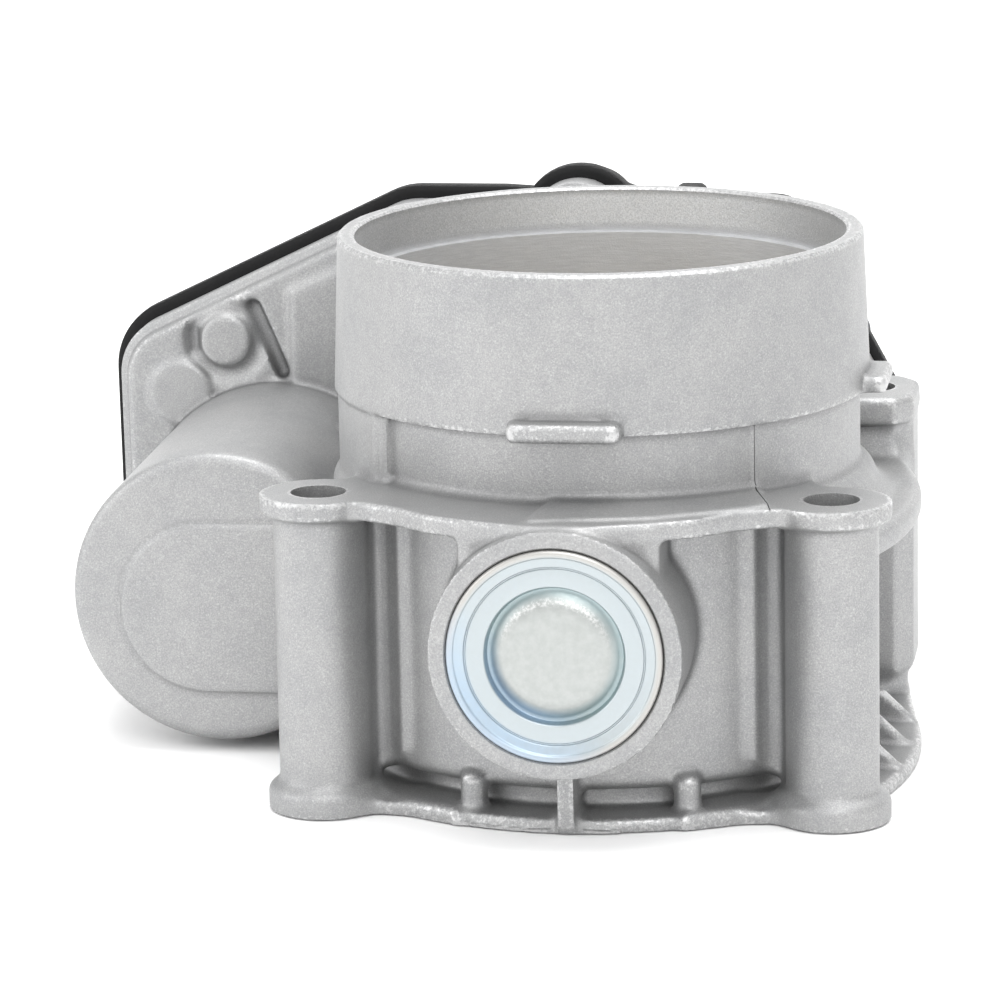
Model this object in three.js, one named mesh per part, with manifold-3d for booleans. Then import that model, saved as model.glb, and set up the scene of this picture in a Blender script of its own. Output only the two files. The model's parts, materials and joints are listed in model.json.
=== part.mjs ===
// Electronically driven throttle body for a 60 mm air path: die-cast housing with hose spigot and
// four-bolt flange, butterfly valve on a cross shaft, two-stage gear drive, motor and gear cover.
// Millimetres. +Z runs along the air path from the manifold flange to the hose spigot, the shaft
// lies along Y, the gear cover is at +Y. Origin: air path axis in the plane of the flange face.

import * as THREE from 'three';
import { mergeVertices } from 'three/addons/utils/BufferGeometryUtils.js';
import Module from 'manifold-3d';

const wasm = await Module();
wasm.setup();

// ---------- driving dimensions ----------

const BORE_R = 30;                        // air path
const MOUTH_R = 30.9;                     // widened inlet of the spigot
const MOUTH_Z = 62.4;                     // where the mouth steps down to the bore
const SPIGOT = { topR: 33.0, lowR: 33.9, bottom: 48.5, top: 68.1 };
const NECK_R = 32.2;
const WALL = { r: 34.3, grooveR: 32.2, bottom: 5.5, top: 38.4 };
const FLANGE = { r: 37.3, thick: 2.0, bulgeR: 62.2, bulgeX: -22.0 };
const SHAFT_Z = 24.43;                    // cross shaft above the flange face
const SHAFT_R = 4.0;

const BOLT_HOLE_R = 3.42;                 // clearance for M6
const BOLT = { x: 31.5, y: 27.7 };
const EAR = { r: 7.3, bottom: 37.6, top: 40.0 };
const FOOT = { r: 7.15, top: 3.3 };
const COLUMN_R = 5.7;

const BOSS = { r: 15.3, front: -45.7 };   // bearing boss closed by the end plug
const PLUG_R = 13.06;

const MOTOR = { x: -49.9, z: 20.7 };      // motor axis
const BARREL = { r: 18.45, front: -5.0, cavityR: 13.4, cavityFront: -2.0 };

const FLOOR = { front: 38.5, back: 42.0 }; // floor of the gear tray
const PARTING = 45.0;                     // joint between tray and cover
const COVER = { lipFront: 45.1, lipBack: 48.1, inner: 59.4, outer: 61.4, lip: 1.6 };
const HOOD = { x: 9.1, z: 54.3, wide: 27, tall: 15.4, wall: 2.0, end: 72.4 };

const TRAY_WALL = 2.4;
const SCREW_SPOTS = [                     // cover screws, x and z
  [-56.9, 45.4], [-8.9, 60.4], [17.5, 58.6], [27.0, 45.5], [28.3, 8.2], [-66.2, 6.8],
];
const SCREW_RELIEF_R = 6.0;
const MOTOR_SCREW_SPOTS = [[-63.4, 38.2], [-31.6, 7.9]];

const CLOSED_TILT = 6;                    // plate tilt against the shut air path, degrees
const REST_TILT = 12;                     // unpowered limp-home tilt
const TRAVEL_CLOSING = REST_TILT - CLOSED_TILT;
const TRAVEL_OPENING = 88 - REST_TILT;

const STAGE1 = { module: 0.8, pinion: 12, gear: 45 };
const STAGE2 = { module: 0.9, pinion: 15, gear: 46 };

// ---------- colours ----------

const METAL = {
  cast: [0xc4c6c8, 0.62, 0.75], zinc: [0xd3dcdf, 0.25, 0.9], steel: [0x9a9da1, 0.32, 0.95],
  brass: [0xb9934a, 0.35, 0.9], copper: [0xb06a3c, 0.4, 0.85], spring: [0x6d7076, 0.35, 0.9],
};
const PLAIN = {
  cover: [0x17181a, 0.55, 0], gear: [0xd9d4c4, 0.5, 0], seal: [0x1b1b1c, 0.8, 0],
  brown: [0x3c2a1e, 0.7, 0], board: [0x1f5a36, 0.5, 0], chip: [0x151515, 0.45, 0],
  magnet: [0x35363a, 0.6, 0.3], carbon: [0x242424, 0.8, 0],
};

// ---------- solids ----------

function solid(geometry) {
  const bare = geometry.clone();
  bare.deleteAttribute('normal');
  bare.deleteAttribute('uv');
  const merged = mergeVertices(bare, 1e-4);
  const p = merged.attributes.position.array;
  const source = merged.index.array;
  const kept = [];
  let volume = 0;
  for (let i = 0; i < source.length; i += 3) {
    const [a, b, c] = [source[i], source[i + 1], source[i + 2]];
    if (a === b || b === c || a === c) continue;
    kept.push(a, b, c);
    const [ax, ay, az] = [p[3 * a], p[3 * a + 1], p[3 * a + 2]];
    const [bx, by, bz] = [p[3 * b], p[3 * b + 1], p[3 * b + 2]];
    const [cx, cy, cz] = [p[3 * c], p[3 * c + 1], p[3 * c + 2]];
    volume += ax * (by * cz - bz * cy) + ay * (bz * cx - bx * cz) + az * (bx * cy - by * cx);
  }
  if (volume < 0) {
    for (let i = 0; i < kept.length; i += 3) [kept[i], kept[i + 1]] = [kept[i + 1], kept[i]];
  }
  return new wasm.Manifold(new wasm.Mesh({
    numProp: 3, vertProperties: new Float32Array(p), triVerts: new Uint32Array(kept),
  }));
}

const join = (...solids) => solids.flat().reduce((whole, piece) => whole.add(piece));
const cut = (body, ...tools) => tools.flat().reduce((left, tool) => left.subtract(tool), body);

function geometryOf(body) {
  const mesh = body.getMesh();
  const geometry = new THREE.BufferGeometry();
  const position = new Float32Array(mesh.vertProperties);
  geometry.setAttribute('position', new THREE.BufferAttribute(position, 3));
  geometry.setIndex(new THREE.BufferAttribute(new Uint32Array(mesh.triVerts), 1));
  return geometry;
}

// Round bars along Z or Y. x, y or x, z is the axis; from and to are the two ends.
function rodZ(x, y, r, from, to, sides = 16) {
  const bar = new THREE.CylinderGeometry(r, r, to - from, sides).rotateX(Math.PI / 2);
  return solid(bar.translate(x, y, (from + to) / 2));
}

function rodY(x, z, r, from, to, sides = 16) {
  const bar = new THREE.CylinderGeometry(r, r, to - from, sides);
  return solid(bar.translate(x, (from + to) / 2, z));
}

function block(x0, x1, y0, y1, z0, z1) {
  const box = new THREE.BoxGeometry(x1 - x0, y1 - y0, z1 - z0);
  return solid(box.translate((x0 + x1) / 2, (y0 + y1) / 2, (z0 + z1) / 2));
}

// Turned shapes: a closed profile of [radius, height] points about Z, or about Y at x, z.
function turnZ(profile, sides = 56) {
  const points = [...profile, profile[0]].map(([r, h]) => new THREE.Vector2(r, h));
  return solid(new THREE.LatheGeometry(points, sides).rotateX(Math.PI / 2));
}

function turnY(x, z, profile, sides = 20) {
  const points = [...profile, profile[0]].map(([r, h]) => new THREE.Vector2(r, h));
  return solid(new THREE.LatheGeometry(points, sides).translate(x, 0, z));
}

const ringY = (x, z, rIn, rOut, y0, y1, sides = 20) =>
  turnY(x, z, [[rIn, y0], [rOut, y0], [rOut, y1], [rIn, y1]], sides);

// Flat outlines pushed along Z, or (as x, z outlines) along Y.
function prismZ(points, from, to) {
  const shape = new THREE.Shape(points.map(([x, y]) => new THREE.Vector2(x, y)));
  const depth = to - from;
  return solid(new THREE.ExtrudeGeometry(shape, { depth, bevelEnabled: false }).translate(0, 0, from));
}

function prismY(points, from, to) {
  const shape = new THREE.Shape(points.map(([x, z]) => new THREE.Vector2(x, z)));
  const pushed = new THREE.ExtrudeGeometry(shape, { depth: to - from, bevelEnabled: false });
  return solid(pushed.rotateX(Math.PI / 2).translate(0, to, 0));
}

// ---------- outlines ----------

const rad = (degrees) => degrees * Math.PI / 180;
const polar = (x, y, r, degrees) => [x + r * Math.cos(rad(degrees)), y + r * Math.sin(rad(degrees))];

function arc(x, y, r, from, to, steps) {
  const points = [];
  for (let i = 0; i <= steps; i += 1) points.push(polar(x, y, r, from + (to - from) * i / steps));
  return points;
}

// Tray outline in x, z, counter-clockwise, grown outwards by grow. The corners and the screw lobe
// are arcs; dropBottom keeps the bottom edge from growing.
function trayOutline(grow, dropBottom = true) {
  const bottom = 0.5 - (dropBottom ? grow : Math.min(grow, 0));
  const right = 34.2 + grow;
  return [
    ...arc(-64, bottom + 8 + grow, 8 + grow, 180, 270, 4),
    ...arc(right - 6, bottom + 6, 6, 270, 360, 4),
    [right, 36],
    ...arc(16.3, 59.8, 5 + grow, 27, 90, 3),
    [0.9 + 0.4 * grow, 64.8 + grow],
    ...arc(-8.9, 60.4, 6.9 + grow, 35, 145, 5),
    [-18.7 - 0.4 * grow, 64.8 + grow],
    ...arc(-30.7, 56.8, 8 + grow, 90, 116, 2),
    ...arc(-64.2, 40.2, 8 + grow, 116, 180, 4),
  ];
}

// Flange: a disc that bulges on the +X side where the cooling shelf stands over it.
function bulgedDisc(discR, bulgeTrim) {
  const bulge = arc(FLANGE.bulgeX, 0, FLANGE.bulgeR - bulgeTrim, -22, 25, 8);
  return [...bulge, ...arc(0, 0, discR, 50, 312, 30)];
}

// Gear outline in x, z with trapezoid teeth, from and to are tooth numbers of a partial gear.
function teeth(x, z, gearModule, count, phase, from = 0, to = count) {
  const pitchR = gearModule * count / 2;
  const step = 360 / count;
  const shape = [[-0.29, -1.25], [-0.11, 0.9], [0.11, 0.9], [0.29, -1.25]];
  const points = [];
  for (let i = from; i < to; i += 1) {
    for (const [turn, height] of shape) {
      points.push(polar(x, z, pitchR + height * gearModule, phase + (i + turn) * step));
    }
  }
  return points;
}

// ---------- gear train layout ----------

const centre1 = STAGE1.module * (STAGE1.pinion + STAGE1.gear) / 2;
const centre2 = STAGE2.module * (STAGE2.pinion + STAGE2.gear) / 2;
const IDLER = idlerAxis();

function idlerAxis() {
  const span = Math.hypot(MOTOR.x, SHAFT_Z - MOTOR.z);
  const along = (centre1 ** 2 - centre2 ** 2 + span ** 2) / (2 * span);
  const aside = Math.sqrt(centre1 ** 2 - along ** 2);
  const [ux, uz] = [-MOTOR.x / span, (SHAFT_Z - MOTOR.z) / span];
  return { x: MOTOR.x + along * ux - aside * uz, z: MOTOR.z + along * uz + aside * ux };
}

const angleFrom = (a, b) => Math.atan2(b.z - a.z, b.x - a.x) * 180 / Math.PI;
const TOWARDS_IDLER = angleFrom({ x: 0, z: SHAFT_Z }, IDLER);
const LARGE_GEAR = { from: 43.9, to: 47.3 };
const SMALL_GEAR = { to: 53.2 };
const SECTOR = { from: 47.9, web: 53.0, to: 54.6, innerR: 15, hubR: 8 };
const SECTOR_TEETH = 13;                  // teeth on the partial gear
const STOP = { y: 50.4, z: 6.93 };        // axis of the closed-stop screw, along X

// ---------- housing ----------

function boltHoles() {
  return [[-1, -1], [1, -1], [1, 1], [-1, 1]].map(([sx, sy]) => [sx * BOLT.x, sy * BOLT.y]);
}

function airDuct() {
  return turnZ([
    [0, 0], [WALL.grooveR, 0], [WALL.grooveR, WALL.bottom], [WALL.r, WALL.bottom + 0.6],
    [WALL.r, WALL.top], [NECK_R, WALL.top + 2], [NECK_R, SPIGOT.bottom],
    [SPIGOT.lowR, SPIGOT.bottom], [SPIGOT.topR, SPIGOT.top - 0.6],
    [SPIGOT.topR - 0.6, SPIGOT.top], [0, SPIGOT.top],
  ]);
}

function flangeAndFeet() {
  const feet = boltHoles().map(([x, y]) => rodZ(x, y, FOOT.r, 0, FOOT.top, 20));
  const fillets = [-1, 1].map((side) => prismZ([
    [side * 34, -32], [side * 22.5, -30.6], [side * 12, -35.6], [side * 12, -20], [side * 34, -20],
  ], 0, FLANGE.thick));
  return join(prismZ(bulgedDisc(FLANGE.r, 0), 0, FLANGE.thick), feet, fillets);
}

function columnsAndEars() {
  const fronts = boltHoles().slice(0, 2);
  const columns = fronts.map(([x, y]) => rodZ(x, y, COLUMN_R, 1, 39, 20));
  const ears = fronts.map(([x, y]) => rodZ(x, y, EAR.r, EAR.bottom, EAR.top, 20));
  const plates = [-1, 1].map((side) => prismZ([
    [side * 31.5, -27.7], [side * 24.5, -33.6], [side * 20, -36.2], [side * 14.5, -40.6],
    [side * 3.4, -44.2], [0, -44.4], [0, -20], [side * 31.5, -14],
  ], EAR.bottom, EAR.top));
  const webs = [-1, 1].map((side) => prismZ([
    [side * 31.5, -24.5], [side * 33.5, -26], [side * 30.2, -31.2], [side * 26.8, -28.2],
    [side * 23.1, -26.4], [side * 20, -22],
  ], 1, 39));
  return join(columns, ears, plates, webs);
}

function rearColumns() {
  const right = prismZ([
    [24, 20], [35.5, 20.5], [37.6, 23], [37.6, 33], [35.5, 35.5], [24, 39],
  ], 0, 42.4);
  const lip = prismZ([
    [24, 19.4], [35.6, 19.8], [37.8, 22.6], [37.8, 33.2], [35.7, 35.5], [24, 39],
  ], 39.6, 42.4);
  const left = rodZ(-BOLT.x, BOLT.y, EAR.r, 0, EAR.top, 20);
  return join(right, lip, left);
}

function rightShelf() {
  const edge = arc(FLANGE.bulgeX, 0, FLANGE.bulgeR, -13, 27, 8);
  const shelf = prismZ([...edge, [24, 30], [30, -10]], 31.0, 34.4);
  const ribs = [-6, 4, 14].map((y) => block(30, 38.6, y - 0.9, y + 0.9, 1.5, 8));
  return join(shelf, ribs);
}

function plugBoss() {
  const boss = rodY(0, SHAFT_Z, BOSS.r, BOSS.front, -24, 36);
  const rib = block(-1.05, 1.05, -38.5, -32, 1, 12);
  const small = [-9.5, 14.5].map((x) => rodZ(x, -33.5, 2.3, 1, 6.2, 12));
  return join(boss, rib, small);
}

function hoseStops() {
  const front = block(-6.9, 6.9, -36.3, -31.5, 48.1, 50.5);
  const right = block(31.5, 36.3, -7, 7, 48.1, 50.5);
  return join(front, right);
}

function motorBarrel() {
  const barrel = turnY(MOTOR.x, MOTOR.z, [
    [0, BARREL.front], [BARREL.r - 1, BARREL.front], [BARREL.r, BARREL.front + 1],
    [BARREL.r + 0.4, 37], [BARREL.r + 2, 40], [0, 40],
  ], 36);
  const pad = prismY([
    ...arc(MOTOR.x - 2, MOTOR.z + 0.6, 10.4, 90, 270, 8), [-31, MOTOR.z - 9.8], [-31, MOTOR.z + 11],
  ], BARREL.front - 0.5, BARREL.front + 1);
  const saddle = block(-40, -20, -6, 39, 3, 33);
  return join(barrel, pad, saddle);
}

function gearTray() {
  const tray = prismY(trayOutline(0), FLOOR.front + 2, PARTING);
  const face = prismY(trayOutline(-1.3), FLOOR.front, FLOOR.front + 2.2);
  const bridge = block(-24, 24, 20, 40, 2, 44);
  const shoulder = prismY([[-45.5, 37], [-20, 37], [-20, 62], [-36, 58.5], [-45.5, 54.5]], 34.8, 39);
  const screwBoss = rodY(...SCREW_SPOTS[0], 3.45, 37.2, 40, 20);
  const motorBoss = rodY(...MOTOR_SCREW_SPOTS[0], 4.3, 37.4, 40, 20);
  return join(tray, face, bridge, shoulder, screwBoss, motorBoss);
}

// Everything that stands inside the tray on its floor.
function trayInside() {
  const bearingBoss = rodY(0, SHAFT_Z, 7.3, 41, 48.2, 32);
  const pinBoss = rodY(IDLER.x, IDLER.z, 4.0, 41, 43.5, 20);
  const closedPost = block(3.2, 8.6, 41, 52.8, 4.3, 9.5);
  const openPost = block(1.0, 5.4, 41, 52.8, 40.0, 45.2);
  return join(bearingBoss, pinBoss, closedPost, openPost);
}

function screwReliefs(r, from, to) {
  return SCREW_SPOTS.map(([x, z]) => rodY(x, z, r, from, to, 16));
}

function motorFlangeOutline(grow) {
  const [[ax, az], [bx, bz]] = MOTOR_SCREW_SPOTS;
  const earR = 4.2 + grow;
  const [a, b] = [angleFrom(MOTOR, { x: ax, z: az }), angleFrom(MOTOR, { x: bx, z: bz }) + 360];
  return [
    ...arc(ax, az, earR, a - 80, a + 80, 6),
    ...arc(MOTOR.x, MOTOR.z, 15.6 + grow, a + 42, b - 42, 8),
    ...arc(bx, bz, earR, b - 80, b + 80, 6),
    ...arc(MOTOR.x, MOTOR.z, 15.6 + grow, b + 42, a + 360 - 42, 8),
  ];
}

function housing() {
  const casting = join(
    airDuct(), flangeAndFeet(), columnsAndEars(), rearColumns(), rightShelf(), plugBoss(),
    hoseStops(), motorBarrel(), gearTray(),
  );
  const airPath = turnZ([
    [0, -1], [BORE_R, -1], [BORE_R, MOUTH_Z - 0.9], [MOUTH_R, MOUTH_Z], [MOUTH_R, SPIGOT.top + 1],
    [0, SPIGOT.top + 1],
  ]);
  const frontPockets = turnY(0, SHAFT_Z, [
    [0, BOSS.front - 1], [PLUG_R + 0.12, BOSS.front - 1], [PLUG_R + 0.12, -41.4], [11.12, -41.4],
    [11.12, -34.3], [7.6, -34.3], [7.6, -31.4], [SHAFT_R + 0.25, -31.4], [SHAFT_R + 0.25, -28],
    [0, -28],
  ], 28);
  const rearPockets = turnY(0, SHAFT_Z, [
    [0, 28], [SHAFT_R + 0.25, 28], [SHAFT_R + 0.25, 34], [6.12, 34], [6.12, 50], [0, 50],
  ]);
  const trayHollow = cut(
    prismY(trayOutline(-TRAY_WALL), FLOOR.back, PARTING + 1), screwReliefs(SCREW_RELIEF_R, 41, 47),
  );
  const sealGroove = cut(
    cut(prismY(trayOutline(-0.6), 43.6, PARTING + 1), screwReliefs(4.2, 43, 47)),
    cut(prismY(trayOutline(-1.8), 43, PARTING + 2), screwReliefs(5.4, 42, 48)),
  );
  const motorHollow = join(
    rodY(MOTOR.x, MOTOR.z, BARREL.cavityR, BARREL.cavityFront, 46, 24),
    prismY(motorFlangeOutline(0.4), 40.2, 46),
  );
  const bolts = boltHoles().map(([x, y]) => rodZ(x, y, BOLT_HOLE_R, -1, 44, 16));
  const threads = [
    ...SCREW_SPOTS.map(([x, z]) => rodY(x, z, 1.9, 40.4, 46, 12)),
    ...MOTOR_SCREW_SPOTS.map(([x, z]) => rodY(x, z, 1.6, 38.6, 46, 12)),
    rodY(IDLER.x, IDLER.z, 1.95, 39.6, 46, 16),
  ];
  const emptied = cut(casting, airPath, motorHollow, trayHollow, sealGroove);
  const fitted = emptied.add(cut(trayInside(), airPath));
  const stopHole = solid(new THREE.CylinderGeometry(1.62, 1.62, 9, 14).rotateZ(Math.PI / 2)
    .translate(5.5, STOP.y, STOP.z));
  return cut(fitted, frontPockets, rearPockets, bolts, threads, stopHole);
}

// ---------- valve ----------

// Pieces that turn with the plate are built for a flat plate and tilted to the rest position.
function tilted(body) {
  const turn = new THREE.Matrix4().makeRotationY(rad(REST_TILT));
  const place = new THREE.Matrix4().makeTranslation(0, 0, SHAFT_Z).multiply(turn);
  return solid(geometryOf(body).applyMatrix4(place));
}

const PLATE = { thick: 2.0, slot: 2.3, screwY: 12, shaftR: 29.75 };

function throttlePlate() {
  const across = PLATE.shaftR / Math.cos(rad(CLOSED_TILT));
  const disc = new THREE.CylinderGeometry(1, 1, PLATE.thick, 56).rotateX(Math.PI / 2);
  const plate = solid(disc.scale(across, PLATE.shaftR, 1));
  return tilted(cut(plate, ...screwSpots().map((y) => rodZ(0, y, 2.1, -3, 3, 12))));
}

const screwSpots = () => [-PLATE.screwY, PLATE.screwY];

function throttleShaft() {
  const bar = rodY(0, 0, SHAFT_R, -41.0, 55.2, 20);
  const slot = block(-6, 6, -29.9, 29.9, -PLATE.slot / 2, PLATE.slot / 2);
  const flat = block(-6, 6, -18, 18, 3.0, 6);
  const holes = screwSpots().map((y) => rodZ(0, y, 2.1, -6, 6, 12));
  const clipGroove = ringY(0, 0, 3.5, 5, 48.4, 48.8);
  return tilted(cut(bar, slot, flat, holes, clipGroove));
}

function plateScrew(y) {
  const head = rodZ(0, y, 3.2, 3.1, 4.5, 14);
  const drive = block(-0.5, 0.5, y - 0.5, y + 0.5, 3.7, 6);
  return tilted(cut(join(head, rodZ(0, y, 1.9, -4.1, 3.2, 12)), drive));
}

function endPlug() {
  return turnY(0, SHAFT_Z, [
    [0, -43.6], [6.0, -43.6], [7.4, -43.3], [8.4, -45.4], [11.0, -45.6], [12.6, -46.1],
    [PLUG_R, -45.6], [PLUG_R, -41.8], [12.2, -41.8], [12.2, -44.4], [9.4, -44.4], [8.2, -42.1],
    [0, -42.5],
  ], 32);
}

function ballsAndCage() {
  const cage = ringY(0, SHAFT_Z, 7.1, 8.0, -38.5, -37.3);
  const balls = Array.from({ length: 8 }, (_, i) => {
    const [x, z] = polar(0, SHAFT_Z, 7.55, i * 45);
    return solid(new THREE.SphereGeometry(1.5, 6, 5).translate(x, -37.9, z));
  });
  return join(cage, balls);
}

function needleCage() {
  const ends = [[38.7, 39.6], [46.4, 47.3]].map(([a, b]) => ringY(0, SHAFT_Z, 4.15, 5.1, a, b));
  const rollers = Array.from({ length: 10 }, (_, i) => {
    const [x, z] = polar(0, SHAFT_Z, 4.63, i * 36);
    return rodY(x, z, 0.45, 39, 47, 6);
  });
  return join(ends, rollers);
}

function needleCup() {
  return turnY(0, SHAFT_Z, [
    [4.5, 38.2], [6.02, 38.2], [6.02, 47.8], [4.5, 47.8], [4.5, 47.5], [5.25, 47.5], [5.25, 38.5],
    [4.5, 38.5],
  ]);
}

// Lip seal: a stiff outer band with a thin lip towards the shaft.
function lipSeal(outerR, y0, y1) {
  const middle = (y0 + y1) / 2;
  return turnY(0, SHAFT_Z, [
    [outerR, y0], [outerR, y1], [4.9, y1], [4.9, middle + 0.3], [4.12, middle + 0.2],
    [4.12, middle - 0.2], [4.9, middle - 0.3], [4.9, y0],
  ]);
}

// ---------- gears ----------

function throttleGear() {
  const spread = SECTOR_TEETH * 360 / STAGE2.gear;
  const middle = TOWARDS_IDLER + (TRAVEL_OPENING - TRAVEL_CLOSING) / 2;
  const step = 360 / STAGE2.gear;
  const phase = TOWARDS_IDLER + step / 2;
  const tooth = Math.round((middle - phase) / step) - Math.floor(SECTOR_TEETH / 2);
  const rim = teeth(0, SHAFT_Z, STAGE2.module, STAGE2.gear, phase, tooth, tooth + SECTOR_TEETH);
  const start = phase + (tooth - 0.5) * step;
  const inner = arc(0, SHAFT_Z, SECTOR.innerR, start + spread, start, 10);
  const ring = prismY([...rim, ...inner], SECTOR.from, SECTOR.to);
  const web = rodY(0, SHAFT_Z, SECTOR.innerR + 1.2, SECTOR.web, SECTOR.to, 28);
  const hub = rodY(0, SHAFT_Z, SECTOR.hubR, 48.95, SECTOR.to, 20);
  return cut(join(ring, web, hub), rodY(0, SHAFT_Z, 6.95, 48, 56, 20));
}

function intermediateGear() {
  const rest = angleFrom(IDLER, { x: 0, z: SHAFT_Z });
  const small = teeth(IDLER.x, IDLER.z, STAGE2.module, STAGE2.pinion, rest);
  const towardsMotor = angleFrom(IDLER, MOTOR);
  const large = teeth(IDLER.x, IDLER.z, STAGE1.module, STAGE1.gear, towardsMotor + 180 / STAGE1.gear);
  const body = join(
    prismY(large, LARGE_GEAR.from, LARGE_GEAR.to), prismY(small, LARGE_GEAR.from, SMALL_GEAR.to),
  );
  return cut(body, rodY(IDLER.x, IDLER.z, 2.0, 43, 54, 16));
}

function motorPinion() {
  const phase = angleFrom(MOTOR, IDLER);
  const rim = teeth(MOTOR.x, MOTOR.z, STAGE1.module, STAGE1.pinion, phase);
  return cut(prismY(rim, 43.6, 48.2), rodY(MOTOR.x, MOTOR.z, 1.55, 43, 49, 16));
}

function returnSpring() {
  class Coil extends THREE.Curve {
    getPoint(t, target = new THREE.Vector3()) {
      const [x, z] = polar(0, SHAFT_Z, 11.6, 30 + t * 720);
      return target.set(x, 49.4 + t * 2.6, z);
    }
  }
  const section = new THREE.Shape(arc(0, 0, 0.62, 0, 300, 5).map(([x, y]) => new THREE.Vector2(x, y)));
  const settings = { steps: 36, bevelEnabled: false, extrudePath: new Coil() };
  const leg = rodY(...polar(0, SHAFT_Z, 11.6, 30), 0.62, 42.3, 49.4, 6);
  return join(solid(new THREE.ExtrudeGeometry(section, settings)), leg);
}

// ---------- motor ----------

function motorCan() {
  return turnY(MOTOR.x, MOTOR.z, [
    [1.9, -1.6], [13.0, -1.6], [13.0, 36.0], [12.4, 36.0], [12.4, -0.9], [4.2, -0.9], [4.2, 1.2],
    [1.9, 1.2],
  ], 24);
}

function fieldMagnet(middle) {
  const outline = [
    ...arc(MOTOR.x, MOTOR.z, 12.3, middle - 62, middle + 62, 8),
    ...arc(MOTOR.x, MOTOR.z, 10.9, middle + 62, middle - 62, 8),
  ];
  return prismY(outline, 3, 28);
}

function armature() {
  const pole = (i) => {
    const a = i * 72;
    const shoe = prismY([
      ...arc(MOTOR.x, MOTOR.z, 10.4, a - 30, a + 30, 4), ...arc(MOTOR.x, MOTOR.z, 9.2, a + 30, a - 30, 4),
    ], 5, 26);
    const stem = prismY([
      polar(MOTOR.x, MOTOR.z, 9.6, a - 14), polar(MOTOR.x, MOTOR.z, 9.6, a + 14),
      polar(MOTOR.x, MOTOR.z, 3.6, a + 38), polar(MOTOR.x, MOTOR.z, 3.6, a - 38),
    ], 4, 27);
    return join(shoe, stem);
  };
  const core = rodY(MOTOR.x, MOTOR.z, 5.2, 3.5, 27.5, 20);
  const poles = Array.from({ length: 5 }, (_, i) => pole(i));
  return cut(join(core, poles), rodY(MOTOR.x, MOTOR.z, 1.6, 2, 30, 16));
}

function endCap() {
  const cap = turnY(MOTOR.x, MOTOR.z, [
    [1.9, 36.2], [12.9, 36.2], [12.9, 38.2], [11, 40.0], [1.9, 40.0],
  ], 24);
  const windows = [90, 270].map((a) => {
    const [x, z] = polar(MOTOR.x, MOTOR.z, 7.5, a);
    return block(x - 1.4, x + 1.4, 35, 41, z - 2.2, z + 2.2);
  });
  return cut(cap, windows);
}

function brush(angle) {
  const [x, z] = polar(MOTOR.x, MOTOR.z, 6.7, angle);
  return block(x - 1.3, x + 1.3, 29.5, 34.5, z - 1.9, z + 1.9);
}

function motorTerminal(angle) {
  const [x, z] = polar(MOTOR.x, MOTOR.z, 7.5, angle);
  return block(x - 0.9, x + 0.9, 34.8, 56.5, z - 0.4, z + 0.4);
}

function motorPlate() {
  const holes = MOTOR_SCREW_SPOTS.map(([x, z]) => rodY(x, z, 1.75, 39, 43, 16));
  const window = rodY(MOTOR.x, MOTOR.z, 11.4, 39, 43, 20);
  return cut(prismY(motorFlangeOutline(0), 40.3, 41.8), window, holes);
}

function screwY(x, z, { head, headR, shankR, from, to }) {
  const shank = rodY(x, z, shankR, from, to, 8);
  const socket = rodY(x, z, headR * 0.45, to + head * 0.4, to + head + 1, 6);
  return cut(join(shank, rodY(x, z, headR, to, to + head, 12)), socket);
}

const coverScrew = ([x, z]) => screwY(x, z, { head: 2.4, headR: 3.5, shankR: 1.75, from: 41, to: 50.1 });
const motorScrew = ([x, z]) => screwY(x, z, { head: 1.6, headR: 2.9, shankR: 1.5, from: 39, to: 41.9 });

function stopScrew() {
  const bar = (r, x0, x1, sides) => solid(new THREE.CylinderGeometry(r, r, x1 - x0, sides)
    .rotateZ(Math.PI / 2).translate((x0 + x1) / 2, STOP.y, STOP.z));
  return cut(bar(1.5, 0.5, 11.5, 16), bar(0.75, 10, 12, 6));
}

// ---------- cover ----------

function gearCover() {
  const lip = prismY(trayOutline(COVER.lip, false), COVER.lipFront, COVER.lipBack);
  const dome = prismY(trayOutline(-0.5), COVER.lipBack - 0.5, COVER.outer - 1);
  const back = prismY(trayOutline(-1.7), COVER.outer - 1.2, COVER.outer);
  const inside = prismY(trayOutline(-TRAY_WALL), COVER.lipFront - 1, COVER.inner);
  const hollow = cut(inside, screwReliefs(SCREW_RELIEF_R, 43, 62));
  const heads = screwReliefs(4.4, 50.0, 64);
  const holes = screwReliefs(2.1, 44, 64);
  const { x, z, wide, tall, wall, end } = HOOD;
  const hood = prismY(roundedBox(x, z, wide, tall, 3), COVER.inner, end);
  const ridge = block(x - 2.5, x + 2.5, COVER.lipBack, end - 3, z + tall / 2 - 1, z + tall / 2 + 1.7);
  const opening = roundedBox(x, z, wide - 2 * wall, tall - 2 * wall, 1.5);
  const socket = prismY(opening, COVER.outer + 0.6, end + 1);
  const pinSlots = pinPlaces().map((px) => block(px - 0.55, px + 0.55, 58, 64, PIN_Z - 0.8, PIN_Z + 0.8));
  const pinCup = cut(
    rodY(IDLER.x, IDLER.z, 4.0, 56.0, COVER.inner + 0.5, 20), rodY(IDLER.x, IDLER.z, 2.05, 55, 59.0, 16),
  );
  const shell = cut(join(lip, dome, back, hood, ridge), hollow, heads, holes, socket, pinSlots);
  return shell.add(pinCup);
}

function roundedBox(x, z, wide, tall, r) {
  const [dx, dz] = [wide / 2 - r, tall / 2 - r];
  return [
    ...arc(x + dx, z + dz, r, 0, 90, 4), ...arc(x - dx, z + dz, r, 90, 180, 4),
    ...arc(x - dx, z - dz, r, 180, 270, 4), ...arc(x + dx, z - dz, r, 270, 360, 4),
  ];
}

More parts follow.
